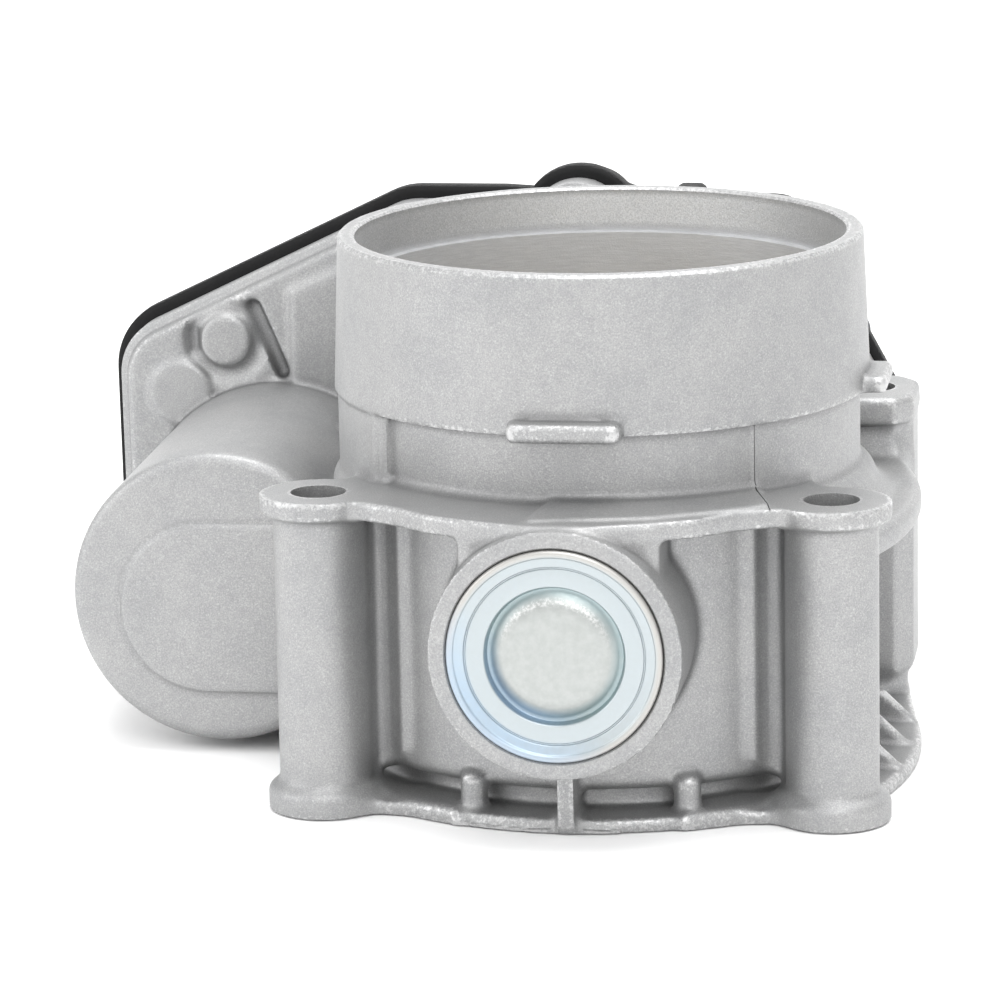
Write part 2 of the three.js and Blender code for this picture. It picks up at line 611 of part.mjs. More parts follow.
const PIN_Z = 51.4;
const pinPlaces = () => Array.from({ length: 6 }, (_, i) => HOOD.x + (i - 2.5) * 3.2);
const connectorPin = (x) => block(x - 0.32, x + 0.32, 59.15, 69.5, PIN_Z - 0.6, PIN_Z + 0.6);

function coverSeal() {
  return cut(
    cut(prismY(trayOutline(-0.7), 43.75, 44.95), screwReliefs(4.3, 43, 47)),
    cut(prismY(trayOutline(-1.7), 43, 46), screwReliefs(5.3, 42, 48)),
  );
}

function sensorBoard() {
  return prismY([
    [-9, 14], [9, 14], [9, 34], [20.5, 44], [20.5, 51.5], [12, 52.6], [8, 56], [-2, 56], [-9, 46],
  ], 58.0, 59.0);
}

// ---------- scene ----------

const group = new THREE.Group();

function place(name, body, [color, roughness, metalness]) {
  const material = new THREE.MeshStandardMaterial({ color, roughness, metalness });
  const mesh = new THREE.Mesh(geometryOf(body), material);
  mesh.name = name;
  group.add(mesh);
}

place('housing', housing(), METAL.cast);
place('end_plug', endPlug(), METAL.zinc);

place('throttle_shaft', throttleShaft(), METAL.steel);
place('throttle_plate', throttlePlate(), METAL.brass);
place('plate_screw_front', plateScrew(-PLATE.screwY), METAL.steel);
place('plate_screw_rear', plateScrew(PLATE.screwY), METAL.steel);

place('ball_bearing_outer_ring', ringY(0, SHAFT_Z, 9.15, 11.02, -41.2, -34.5, 28), METAL.steel);
place('ball_bearing_inner_ring', ringY(0, SHAFT_Z, 4.1, 5.95, -41.2, -34.5), METAL.steel);
place('ball_bearing_cage_and_balls', ballsAndCage(), METAL.steel);
place('needle_bearing_cup', needleCup(), METAL.steel);
place('needle_bearing_cage_and_rollers', needleCage(), METAL.steel);
place('shaft_seal_front', lipSeal(7.5, -34.1, -31.6), PLAIN.seal);
place('shaft_seal_rear', lipSeal(6.02, 34.3, 37.8), PLAIN.seal);
place('shaft_retaining_clip', ringY(0, SHAFT_Z, 3.65, 5.8, 48.5, 48.7), METAL.spring);

place('throttle_gear', throttleGear(), PLAIN.gear);
place('throttle_gear_insert', ringY(0, SHAFT_Z, 4.1, 6.85, 49.2, 54.9), METAL.steel);
place('position_magnet', rodY(0, SHAFT_Z, 6.4, 55.5, 57.0), PLAIN.magnet);
place('return_spring', returnSpring(), METAL.spring);
place('intermediate_gear', intermediateGear(), PLAIN.gear);
place('intermediate_gear_pin', rodY(IDLER.x, IDLER.z, 1.85, 39.8, 58.7, 16), METAL.steel);
place('closed_stop_screw', stopScrew(), METAL.steel);

place('motor_can', motorCan(), METAL.zinc);
place('motor_magnet_upper', fieldMagnet(90), PLAIN.magnet);
place('motor_magnet_lower', fieldMagnet(270), PLAIN.magnet);
place('motor_armature', armature(), METAL.copper);
place('motor_commutator', ringY(MOTOR.x, MOTOR.z, 1.6, 4.4, 28.5, 35, 16), METAL.copper);
place('motor_shaft', rodY(MOTOR.x, MOTOR.z, 1.5, -0.6, 49, 16), METAL.steel);
place('motor_pinion', motorPinion(), METAL.brass);
place('motor_brush_upper', brush(90), PLAIN.carbon);
place('motor_brush_lower', brush(270), PLAIN.carbon);
place('motor_terminal_upper', motorTerminal(90), METAL.brass);
place('motor_terminal_lower', motorTerminal(270), METAL.brass);
place('motor_end_cap', endCap(), PLAIN.brown);
place('motor_mounting_plate', motorPlate(), METAL.zinc);
place('motor_spring_washer', ringY(MOTOR.x, MOTOR.z, 6.5, 9.5, -1.93, -1.68), METAL.spring);
MOTOR_SCREW_SPOTS.forEach((spot, i) => place(`motor_screw_${i + 1}`, motorScrew(spot), METAL.zinc));

place('gear_cover', gearCover(), PLAIN.cover);
place('gear_cover_seal', coverSeal(), PLAIN.seal);
SCREW_SPOTS.forEach((spot, i) => place(`cover_screw_${i + 1}`, coverScrew(spot), METAL.zinc));
place('sensor_board', sensorBoard(), PLAIN.board);
place('position_sensor_chip', block(-3, 3, 57.4, 57.9, SHAFT_Z - 3, SHAFT_Z + 3), PLAIN.chip);
pinPlaces().forEach((x, i) => place(`connector_pin_${i + 1}`, connectorPin(x), METAL.brass));

export default group;
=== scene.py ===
"""Electronic throttle body: blasted die casting, zinc plug, butterfly valve and black gear cover.

Shapes are worked out in millimetres in the frame's own axes: Z along the air path, the flange face
at z = 0, the shaft along Y, the plug at -Y and the gear cover at +Y. Meshes are made in metres.
The casting, the cover and its seal are distance fields on grids, so each fillet is a rounded union.
"""

import json
import math

import bpy
import numpy as np
import openvdb
from mathutils import Matrix, Vector


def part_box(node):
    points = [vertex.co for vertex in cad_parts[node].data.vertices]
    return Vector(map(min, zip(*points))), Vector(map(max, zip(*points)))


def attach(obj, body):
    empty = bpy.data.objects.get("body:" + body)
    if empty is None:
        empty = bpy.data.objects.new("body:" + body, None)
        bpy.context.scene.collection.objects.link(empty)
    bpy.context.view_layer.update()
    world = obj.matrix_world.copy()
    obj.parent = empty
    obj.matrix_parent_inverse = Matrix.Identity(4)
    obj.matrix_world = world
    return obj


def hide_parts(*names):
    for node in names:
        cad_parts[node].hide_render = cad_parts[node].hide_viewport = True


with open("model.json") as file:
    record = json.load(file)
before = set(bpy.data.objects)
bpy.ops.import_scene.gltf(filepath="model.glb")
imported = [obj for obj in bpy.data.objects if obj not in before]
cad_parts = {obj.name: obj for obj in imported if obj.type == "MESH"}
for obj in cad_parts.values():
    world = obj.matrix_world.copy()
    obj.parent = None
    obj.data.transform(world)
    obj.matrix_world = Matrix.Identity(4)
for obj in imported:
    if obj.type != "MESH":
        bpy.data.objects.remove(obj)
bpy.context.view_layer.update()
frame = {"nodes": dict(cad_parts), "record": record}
MM = 0.001


def box_mm(node):
    low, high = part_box(node)
    return np.array(low) / MM, np.array(high) / MM


def centre_mm(node):
    low, high = box_mm(node)
    return (low + high) / 2


# ---- sizes from the frame ----

CAST_LOW, CAST_HIGH = box_mm("housing")
COVER_LOW, COVER_HIGH = box_mm("gear_cover")
SHAFT_Z = centre_mm("throttle_shaft")[2]
MOTOR_X, _, MOTOR_Z = centre_mm("motor_can")
PIN_X, _, GEAR_PIN_Z = centre_mm("intermediate_gear_pin")
PLUG_FRONT = box_mm("end_plug")[0][1]
COVER_SCREWS = [centre_mm(f"cover_screw_{i}")[[0, 2]] for i in range(1, 7)]
EDGE_SCREWS = (2, 3)  # places in COVER_SCREWS beside the trimmed edge
MOTOR_SCREWS = [centre_mm(f"motor_screw_{i}")[[0, 2]] for i in (1, 2)]
PIN_CENTRES = [centre_mm(f"connector_pin_{i}")[[0, 2]] for i in range(1, 7)]
RIM_TOP = CAST_HIGH[2]
REST_TILT, CLOSED_TILT = math.radians(12), math.radians(6)

# ---- driving sizes, mm ----

BORE_R, MOUTH_R, MOUTH_Z = 30.0, 30.9, 62.4
COLLAR_TOP_R, COLLAR_LOW_R, COLLAR_Z = 33.0, 33.85, 48.5
NECK_R, GROOVE_R, WALL_R, WALL_Z = 32.1, 31.3, 34.3, (4.4, 38.6)
FLANGE_R, FLANGE_TOP, UNDER = 37.3, 1.8, -2.0
BULGE_X, BULGE_R = -22.0, 62.2
BOLT_X, BOLT_Y, BOLT_R = 31.5, 27.7, 3.42
EAR_R, EAR_Z = 7.3, (37.6, 40.0)
SEAM = -47.8  # degrees about Z
FOOT_R, FOOT_TOP, COLUMN_R = 7.15, 3.3, 5.7
BOSS_R, BOSS_FRONT, PLUG_R, PLUG_SEAT = 15.3, -45.7, 13.06, -41.4
SHAFT_R, SHAFT_HOLE_R, BALL_BEARING_R, NEEDLE_BEARING_R = 4.0, 4.25, 11.12, 6.12
STOP_SCREW_HOLE = (4.5, 50.4, 6.93)
PLATE_R, PLATE_HALF, PLATE_SCREW_Y, PLATE_HOLE_R, SLOT_HALF = 29.75, 1.0, 12.0, 2.1, 1.15
BARREL_R, BARREL_FRONT = 18.45, -5.0
MOTOR_BORE_R, MOTOR_BORE_FRONT = 13.4, -2.0
TRAY_FACE, TRAY_FLOOR, PARTING = 38.5, 42.0, 45.0
TRAY_WALL, SEAL_Y = 2.4, (43.9, 45.05)
SCREW_RELIEF_R, SCREW_HOLE_R, SCREW_CLEAR_R, SCREW_THREAD_R, SCREW_SEAT = 6.0, 1.9, 2.1, 1.75, 50.1
LIP_Y, COVER_LIP, COVER_INNER, COVER_OUTER = (45.1, 48.1), 1.6, 59.4, 60.9
HOOD_X, HOOD_Z, HOOD_W, HOOD_H, HOOD_WALL = 9.1, 52.2, 26.0, 7.6, 1.9
HOOD_END = COVER_HIGH[1]

# ---- grids, mm ----

VOXEL, SEAL_VOXEL, MARGIN = 0.42, 0.35, 1.3
# FAR stands for empty space, BAND is what is kept around a surface, BLEND_ROOM lies around a shape.
FAR, BAND, BLEND_ROOM = 6.0, 2.0, 2.5
HOLLOW_REACH = 4.2

# ---- rounded unions on a grid ----


def round_union(a, b, r):
    """Union of two distances with a fillet of radius r where they meet."""
    if r <= 0:
        return np.minimum(a, b)
    u = np.maximum(r - a, 0)
    v = np.maximum(r - b, 0)
    return np.maximum(r, np.minimum(a, b)) - np.sqrt(u * u + v * v)


def both(a, b, r=0.0):
    """Where two shapes overlap, with the edge between them rounded to r."""
    return -round_union(-a, -b, r)


class Field:
    """A signed distance in millimetres, negative inside the material."""

    def __init__(self, low, high, voxel):
        self.low, self.voxel = np.array(low, float), voxel
        self.axes = [np.arange(a, b + voxel, voxel, dtype=np.float32) for a, b in zip(low, high)]
        self.values = np.full([len(a) for a in self.axes], FAR, np.float32)

    def part(self, low, high, margin):
        """The block of the grid around a box, and its x, y and z as open arrays."""
        block = []
        for axis, a, b in zip(self.axes, low, high):
            first = int(np.searchsorted(axis, a - margin))
            last = int(np.searchsorted(axis, b + margin))
            block.append(slice(max(first, 0), max(last, 1)))
        x, y, z = (axis[s] for axis, s in zip(self.axes, block))
        return tuple(block), x[:, None, None], y[None, :, None], z[None, None, :]

    def add(self, shape, fillet=0.0, sign=1):
        """Joins a shape on, or takes it away when sign is -1."""
        distance, low, high = shape
        block, x, y, z = self.part(low, high, fillet + BLEND_ROOM)
        self.values[block] = sign * round_union(sign * self.values[block], distance(x, y, z), fillet)

    def cut(self, shape, rounding=0.0):
        self.add(shape, rounding, -1)

    def sample(self, points, values):
        """Trilinear values at points in millimetres."""
        at = (points - self.low) / self.voxel
        cell = np.clip(np.floor(at).astype(int), 0, np.array(values.shape) - 2)
        f = at - cell
        total = np.zeros(len(points))
        for corner in range(8):
            i, j, k = corner & 1, corner >> 1 & 1, corner >> 2 & 1
            weight = np.abs(1 - i - f[:, 0]) * np.abs(1 - j - f[:, 1]) * np.abs(1 - k - f[:, 2])
            total += weight * values[cell[:, 0] + i, cell[:, 1] + j, cell[:, 2] + k]
        return total

    def surface(self):
        """Points in millimetres and quads of the zero surface, pulled onto the field."""
        grid = openvdb.FloatGrid()
        grid.background = BAND
        grid.copyFromArray(np.clip(self.values, -BAND, BAND), tolerance=0)
        points, quads = grid.convertToQuads(isovalue=0.0)
        points = np.asarray(points, float) * self.voxel + self.low
        step = 0.5 * self.voxel
        for _ in range(2):
            here = self.sample(points, self.values)
            slope = np.stack([
                self.sample(points + step * e, self.values) - self.sample(points - step * e, self.values)
                for e in np.eye(3)], 1) / (2 * step)
            square = np.maximum((slope ** 2).sum(1), 0.2)
            move = -slope * (here / square)[:, None]
            length = np.maximum(np.linalg.norm(move, axis=1), 1e-9)
            points += move * np.minimum(1, 0.3 * self.voxel / length)[:, None]
        return points, np.asarray(quads)

    def relief(self, reach):
        """The distance blurred over reach mm: above zero by edges, below zero in corners."""
        soft = np.clip(self.values, -reach, reach)
        width = max(1, round(reach / self.voxel))
        for axis in range(3):
            for _ in range(2):
                total = np.cumsum(soft, axis=axis, dtype=np.float64)
                ahead = np.take(total, np.arange(2 * width + 1, soft.shape[axis]), axis=axis)
                behind = np.take(total, np.arange(0, soft.shape[axis] - 2 * width - 1), axis=axis)
                mean = (ahead - behind) / (2 * width + 1)
                pad = [(0, 0)] * 3
                pad[axis] = (width + 1, width)
                soft = np.pad(mean, pad, mode="edge").astype(np.float32)
        return soft / reach


# ---- outlines and shapes ----


def disc(u0, v0, r):
    return (lambda u, v: np.sqrt((u - u0) ** 2 + (v - v0) ** 2) - r), (u0 - r, v0 - r), (u0 + r, v0 + r)


def polygon(points, grow=0.0):
    """Distance to a closed outline, grown outwards with round corners."""
    points = np.array(points, float)

    def distance(u, v):
        nearest = np.full(np.broadcast(u, v).shape, 1e9)
        inside = np.zeros(nearest.shape, bool)
        for (ax, ay), (bx, by) in zip(points, np.roll(points, -1, 0)):
            ex, ey = bx - ax, by - ay
            wx, wy = u - ax, v - ay
            t = np.clip((wx * ex + wy * ey) / (ex * ex + ey * ey), 0, 1)
            nearest = np.minimum(nearest, (wx - ex * t) ** 2 + (wy - ey * t) ** 2)
            crosses = (ay > v) != (by > v)
            if ey:
                inside ^= crosses & (u < ax + (v - ay) * ex / ey)
        return (np.where(inside, -1, 1) * np.sqrt(nearest) - grow).astype(np.float32)

    return distance, points.min(0) - grow, points.max(0) + grow


def rect(u0, u1, v0, v1, corner=0.0):
    c = corner
    return polygon([(u0 + c, v0 + c), (u1 - c, v0 + c), (u1 - c, v1 - c), (u0 + c, v1 - c)], c)


def minus(outline, *holes):
    distance, low, high = outline
    rest = [hole[0] for hole in holes]

    def left(u, v):
        d = distance(u, v)
        for hole in rest:
            d = np.maximum(d, -hole(u, v))
        return d

    return left, low, high


def slab(t, a, b):
    return np.abs(t - (a + b) / 2) - (b - a) / 2


def along_x(outline, x0, x1, edge=0.0):
    d, (y0, z0), (y1, z1) = outline
    return (lambda x, y, z: both(d(y, z), slab(x, x0, x1), edge)), (x0, y0, z0), (x1, y1, z1)


def along_y(outline, y0, y1, edge=0.0):
    d, (x0, z0), (x1, z1) = outline
    return (lambda x, y, z: both(d(x, z), slab(y, y0, y1), edge)), (x0, y0, z0), (x1, y1, z1)


def along_z(outline, z0, z1, edge=0.0):
    d, (x0, y0), (x1, y1) = outline
    return (lambda x, y, z: both(d(x, y), slab(z, z0, z1), edge)), (x0, y0, z0), (x1, y1, z1)


def cone(axis, u0, v0, r0, t0, r1, t1, edge):
    """A round bar along Y or Z whose radius goes from r0 at t0 to r1 at t1."""
    slope = (r1 - r0) / (t1 - t0)
    squeeze = math.cos(math.atan(slope))
    widest = max(r0, r1)

    def distance(x, y, z):
        v, t = (z, y) if axis == "y" else (y, z)
        side = (np.sqrt((x - u0) ** 2 + (v - v0) ** 2) - (r0 + slope * (t - t0))) * squeeze
        return both(side, slab(t, t0, t1), edge)

    box = np.array([(u0 - widest, v0 - widest, t0), (u0 + widest, v0 + widest, t1)])
    low, high = box[:, [0, 2, 1]] if axis == "y" else box
    return distance, low, high


def ring_y(cx, cz, r, y, tube):
    """A ring of round bar lying in the plane at y."""
    def distance(x, at_y, z):
        radial = np.sqrt((x - cx) ** 2 + (z - cz) ** 2) - r
        return np.sqrt(radial ** 2 + (at_y - y) ** 2) - tube

    reach = r + tube
    return distance, (cx - reach, y - tube, cz - reach), (cx + reach, y + tube, cz + reach)


def rod(start, end, r):
    """A round bar with ball ends from start to end."""
    start, end = np.array(start, float), np.array(end, float)
    run = end - start

    def distance(x, y, z):
        along = (x - start[0]) * run[0] + (y - start[1]) * run[1] + (z - start[2]) * run[2]
        t = np.clip(along / (run @ run), 0, 1)
        return np.sqrt((x - start[0] - t * run[0]) ** 2 + (y - start[1] - t * run[1]) ** 2
                       + (z - start[2] - t * run[2]) ** 2) - r

    return distance, np.minimum(start, end) - r, np.maximum(start, end) + r


def within(shape, limit, edge=0.0):
    """A shape kept only where limit(x, y, z) is negative."""
    distance, low, high = shape
    return (lambda x, y, z: both(distance(x, y, z), limit(x, y, z), edge)), low, high


def arc(cu, cv, r, start, end, steps):
    angles = np.radians(np.linspace(start, end, steps + 1))
    return [(cu + r * math.cos(a), cv + r * math.sin(a)) for a in angles]


def mirrored(points, side):
    return [(side * x, y) for x, y in points]


def tray_outline(grow, grow_bottom=True):
    """Outline of the gear tray and cover in x, z, counter-clockwise."""
    bottom = 0.5 - (grow if grow_bottom else min(grow, 0))
    right = 34.2 + grow
    return [
        *arc(-64, bottom + 8 + grow, 8 + grow, 180, 270, 10),
        *arc(right - 6, bottom + 6, 6, 270, 360, 10),
        (right, 36),
        *arc(16.3, 58.5, 5 + grow, 27, 90, 8),
        (0.9 + 0.4 * grow, 63.5 + grow),
        *arc(-8.9, 60.4, 6.75 + grow, 35, 145, 14),
        (-18.7 - 0.4 * grow, 64.2 + grow),
        *arc(-30.7, 56.2, 8 + grow, 90, 116, 6),
        *arc(-64.2, 40.2, 8 + grow, 116, 180, 10),
    ]


def motor_pocket_outline(grow):
    outline = []
    angles = [math.degrees(math.atan2(z - MOTOR_Z, x - MOTOR_X)) for x, z in MOTOR_SCREWS]
    first, second = angles[0], angles[1] + 360
    for (x, z), middle, body in [
        (MOTOR_SCREWS[0], first, (first + 42, second - 42)),
        (MOTOR_SCREWS[1], second, (second + 42, first + 360 - 42)),
    ]:
        outline += arc(x, z, 4.2 + grow, middle - 80, middle + 80, 10)
        outline += arc(MOTOR_X, MOTOR_Z, 15.6 + grow, *body, 14)
    return outline


BOLTS = [(sx * BOLT_X, sy * BOLT_Y) for sx, sy in [(-1, -1), (1, -1), (1, 1), (-1, 1)]]

# ---- casting ----


def sector(r, start, end, inner=20.0):
    return polygon(arc(0, 0, r, start, end, 24) + arc(0, 0, inner, end, start, 6))


def add_duct_and_flange(body):
    body.add(along_z(disc(0, 0, GROOVE_R), UNDER, 47, 0.3))
    body.add(along_z(disc(0, 0, WALL_R), *WALL_Z, 1.7))
    bulge = arc(BULGE_X, 0, BULGE_R - 1, -22, 12, 10) + [(36.2, 24.5), (34.0, 32.2), (29, 36)]
    flange = polygon(bulge + arc(0, 0, FLANGE_R - 1, 60, 312, 60), 1)
    body.add(along_z(flange, UNDER, FLANGE_TOP, 0.7), 0.9)
    body.add(along_z(sector(FLANGE_R + 0.45, -112, -80), UNDER, 0.55, 0.1))
    for x, y in (BOLTS[0], BOLTS[1], BOLTS[3]):
        body.add(along_z(disc(x, y, FOOT_R), UNDER, FOOT_TOP, 1.0), 2.2)
    for side in (-1, 1):
        bridge = mirrored([(32, -32.4), (25, -31.4), (20, -32), (14, -35), (14, -25), (32, -25)], side)
        body.add(along_z(polygon(bridge), UNDER, FLANGE_TOP, 0.7), 1.5)


def add_front_columns(body):
    for side in (-1, 1):
        x, y = side * BOLT_X, -BOLT_Y
        body.add(along_z(disc(x, y, COLUMN_R), 1, 39), 1.3)
        web = mirrored([(33, -23), (32.5, -25.2), (24.5, -25.2), (20.5, -22)], side)
        ridge = mirrored([(24.0, -23.5), (21.7, -26.6), (20.9, -26.4), (19.6, -23.5)], side)

        def floor(x, y, z, side=side):
            rise = 0.766 * (27.5 - side * x)
            return 0.78 * (2.5 + rise - z)

        body.add(within(along_z(polygon(web, 0.3), 2, 39, 0.2), floor, 0.4), 2.2)
        body.add(within(along_z(polygon(ridge, 0.6), 2, 39, 0.2), floor, 0.4), 1.2)


def add_plug_boss(body):
    body.add(along_y(disc(0, SHAFT_Z, BOSS_R), BOSS_FRONT, -22, 0.35), 0.9)
    gusset = [(-11.6, -40.8), (-3.4, -43.4), (3.4, -43.4), (11.6, -40.8), (11.6, -30), (-11.6, -30)]
    body.add(along_z(polygon(gusset, 0.6), 31, 39, 0.3), 0.6)
    body.add(along_x(rect(-38.6, -31.5, 1, 12), -1.05, 1.05, 0.3), 1.3)
    for x, y in ((-12.1, -32.4), (14.1, -31.7)):
        body.add(along_z(disc(x, y, 1.7), 1, 6.4, 1.1), 0.9)


def add_top_web(body):
    """The web under the neck that ties both front ears together."""
    front = [(31.5, -24), (26.5, -31.9), (20.6, -35.0), (15.6, -39.0), (11.2, -40.9), (3.4, -43.6)]
    outline = mirrored(front, -1) + front[::-1] + [(27, -16), (-27, -16)]
    body.add(along_z(polygon(outline, 0.7), *EAR_Z, 0.6), 0.9)
    raised = [(-3, -42.2), (10.9, -39.4), (20.2, -34.6), (24.3, -31.6), (22.0, -23.8), (0, -20)]
    body.add(along_z(polygon(raised, 0.5), 38, EAR_Z[1] + 0.4, 0.5), 0.8)
    for x, y in BOLTS[:2]:
        body.add(along_z(disc(x, y, EAR_R), EAR_Z[0], EAR_Z[1] + 0.5, 0.6), 1.1)


def add_neck(body):
    body.add(along_z(disc(0, 0, NECK_R), 36, COLLAR_Z + 0.5), 1.5)
    body.add(along_z(sector(NECK_R + 0.4, SEAM, 30), 39, COLLAR_Z + 0.4), 0.5)
    body.add(along_z(sector(33.45, 139, 221), 36, COLLAR_Z + 0.4), 0.8)
    body.add(along_z(sector(NECK_R + 0.7, 185, 223.7), 38, COLLAR_Z + 0.2, 0.15), 0.2)
    body.add(along_z(sector(NECK_R + 1.1, 219.5, 223.7), 38, COLLAR_Z + 0.2, 0.4), 0.9)
    body.add(cone("z", 0, 0, COLLAR_LOW_R, COLLAR_Z, COLLAR_TOP_R, RIM_TOP + 1, 0.15))
    body.add(along_z(rect(-6.9, 6.9, -36.25, -31, 0.9), 48.1, 50.5, 0.85), 0.45)
    body.add(along_z(rect(31, 36.4, -5.6, 5.6, 0.9), 48.4, 50.5, 0.7), 0.45)


def add_rear_columns(body):
    block = [(24, 20.5), (34.9, 21.3), (36.6, 23.4), (36.6, 32.6), (34.9, 34.6), (24, 38)]
    lower = [(24, 22.0), (34.9, 22.8), (36.6, 24.9), *block[3:]]
    body.add(along_z(polygon(lower, 0.95), 4.4, 42.0, 1.9), 1.0)
    body.add(along_z(polygon(block, 1.15), 38.6, 42.4, 1.1), 0.5)
    body.add(along_z(disc(BOLT_X, BOLT_Y, 5.0), UNDER, 12, 0.5), 1.2)
    body.add(along_z(disc(-BOLT_X, BOLT_Y, EAR_R), UNDER, EAR_Z[1] + 0.5, 0.6), 1.5)


def add_right_side(body):
    """The rounded shelf on the right and the ribs on the bulge of the flange."""
    edge = polygon(arc(BULGE_X, 0, BULGE_R - 1, -19, 26, 16) + [(24, 30), (29, -19)], 1)
    body.add(along_z(edge, 31.0, 34.5, 1.3), 3.6)
    gusset = [(30, 1), (38.4, 1), (38.4, 2.0), (34.6, 5.6), (30, 5.6)]
    for y in (-11, 0, 11):
        body.add(along_y(polygon(gusset, 0.2), y - 0.75, y + 0.75, 0.5), 0.8)


def add_motor_barrel(body):
    body.add(along_z(rect(-39, -20, -4.4, 39, 1), 4, 33, 1.5), 1.5)
    r, front = BARREL_R, BARREL_FRONT
    body.add(cone("y", MOTOR_X, MOTOR_Z, r, front, r + 0.4, 40, 0.9), 1.5)
    body.add(cone("y", MOTOR_X + 0.5, MOTOR_Z - 0.7, r, front + 0.3, r + 0.2, 40, 1.6), 2.0)
    pad_x, pad_z, pad_r = -51.2, 19.2, 10.6
    stadium = arc(pad_x, pad_z, pad_r, 90, 270, 24) + [(-31, pad_z - pad_r), (-31, pad_z + pad_r)]
    body.add(along_y(polygon(stadium, 0.4), front - 1.05, front + 1.5, 0.35), 0.35)


def add_tray(body):
    body.add(along_y(disc(*COVER_SCREWS[3], 2.8), 40.4, PARTING, 0.3), 0.8)
    body.add(along_y(polygon(tray_outline(-0.6), 0.6), 40.4, PARTING, 0.3), 0.6)
    body.add(along_y(polygon(tray_outline(-2.3), 1.0), TRAY_FACE, 41.0, 0.9), 0.7)
    body.add(along_z(rect(-24, 24, 19, 40, 1.5), 2, 44, 1.5), 1.8)
    shoulder = [(-47.0, 37), (-20, 37), (-20, 61.0), (-36, 56.9), (-47.0, 52.0)]
    body.add(along_y(polygon(shoulder, 0.7), 37.7, 39.2, 0.7), 1.1)
    (bx, bz), (mx, mz) = COVER_SCREWS[0], MOTOR_SCREWS[0]
    body.cut(ring_y(bx, bz, 4.6, TRAY_FACE - 0.45, 1.1), 0.9)
    body.cut(rod((-53.0, TRAY_FACE + 0.7, 50.0), (-49.2, TRAY_FACE + 1.0, 41.2), 1.0), 0.9)
    body.cut(rod((bx - 4.6, TRAY_FACE + 0.4, bz + 1.2), (bx - 4.5, TRAY_FACE + 0.4, bz - 1.2), 0.8), 0.7)
    body.add(along_y(disc(bx, bz, 3.45), TRAY_FACE - 0.4, TRAY_FACE + 3, 0.5), 0.6)
    body.add(along_y(disc(mx, mz, 4.3), TRAY_FACE - 0.7, TRAY_FACE + 2, 0.7), 0.8)


def cut_machined_pads(body):
    for x, y in [BOLTS[0], BOLTS[3]]:
        body.cut(along_z(minus(disc(x, y, 8.2), disc(0, 0, NECK_R + 2.0)), EAR_Z[1], 47), 0.12)
    pad = polygon([(22.0, -23.4), (26.4, -39.5), (42, -39.5), (42, -19), (29, -19)])
    body.cut(along_z(minus(pad, disc(0, 0, NECK_R + 2.0)), EAR_Z[1], 47), 0.12)


def seal_band(grow=0.0):
    """The outer outline of the cover seal, and the seal as a band that passes inside two screws."""
    spots = [COVER_SCREWS[i] for i in EDGE_SCREWS]
    outer = minus(polygon(tray_outline(grow - 0.95)), *[disc(x, z, 3.3 - grow) for x, z in spots])
    inner = minus(polygon(tray_outline(-1.85)), *[disc(x, z, 4.2) for x, z in spots])
    return outer, minus(outer, inner)


def cut_gear_space(body):
    """Motor bore, gear tray and seal groove, then the bosses that stand in the tray."""
    body.cut(along_y(disc(MOTOR_X, MOTOR_Z, MOTOR_BORE_R), MOTOR_BORE_FRONT, 47), 0.3)
    body.cut(along_y(polygon(motor_pocket_outline(0.4)), 40.2, 47), 0.2)
    reliefs = [disc(x, z, SCREW_RELIEF_R) for x, z in COVER_SCREWS]
    body.cut(along_y(minus(polygon(tray_outline(-TRAY_WALL)), *reliefs), TRAY_FLOOR, 47), 0.3)
    posts = [disc(x, z, 3.2) for x, z in COVER_SCREWS]
    body.cut(along_y(minus(seal_band(0.1)[0], *posts), SEAL_Y[0] - 0.1, 47))
    body.add(along_y(disc(0, SHAFT_Z, 7.3), 41, 48.2, 0.3), 0.5)
    body.add(along_y(disc(PIN_X, GEAR_PIN_Z, 4.0), 41, 43.5, 0.3), 0.3)
    body.add(along_y(rect(3.2, 8.6, 4.3, 9.5), 41, 52.8, 0.3), 0.3)
    body.add(along_y(rect(1.0, 5.4, 40.0, 45.2), 41, 52.8, 0.3), 0.3)


def lathe(profile, axis, centre=(0.0, 0.0), segments=192):
    """A closed turned mesh in mm from (radius, height) points, about Z or about Y."""
    turns = np.linspace(0, 2 * math.pi, segments, endpoint=False)
    points, rows = [], []
    for radius, height in profile:
        if radius < 1e-6:
            rows.append([len(points)] * segments)
            points.append((0.0, 0.0, height))
        else:
            rows.append(list(range(len(points), len(points) + segments)))
            points += [(radius * math.cos(a), radius * math.sin(a), height) for a in turns]
    faces = []
    for upper, lower in zip(rows, rows[1:] + rows[:1]):
        for i in range(segments):
            ring = [upper[i], upper[i - 1], lower[i - 1], lower[i]]
            face = [v for n, v in enumerate(ring) if v not in ring[:n]]
            if len(face) > 2:
                faces.append(face)
    points = np.array(points) + (*centre, 0)
    return (points[:, [0, 2, 1]] if axis == "y" else points), faces


def drill(r, start, end, axis, centre, segments):
    """A round bar to cut a hole with."""
    return lathe([(0, start), (r, start), (r, end), (0, end)], axis, centre, segments)


def bar(x0, x1, y0, y1, z0, z1, turn=0.0, about=(0.0, 0.0)):
    """A plain block in mm, turned about Z."""
    points = np.array([(x, y, z) for x in (x0, x1) for y in (y0, y1) for z in (z0, z1)], float)
    faces = [(0, 1, 3, 2), (4, 6, 7, 5), (0, 4, 5, 1), (2, 3, 7, 6), (0, 2, 6, 4), (1, 5, 7, 3)]
    c, s = math.cos(turn), math.sin(turn)
    points[:, :2] = points[:, :2] @ np.array([(c, s), (-s, c)]) + about
    return points, faces


def new_object(name, data):
    obj = bpy.data.objects.new(name, data)
    bpy.context.scene.collection.objects.link(obj)
    return obj


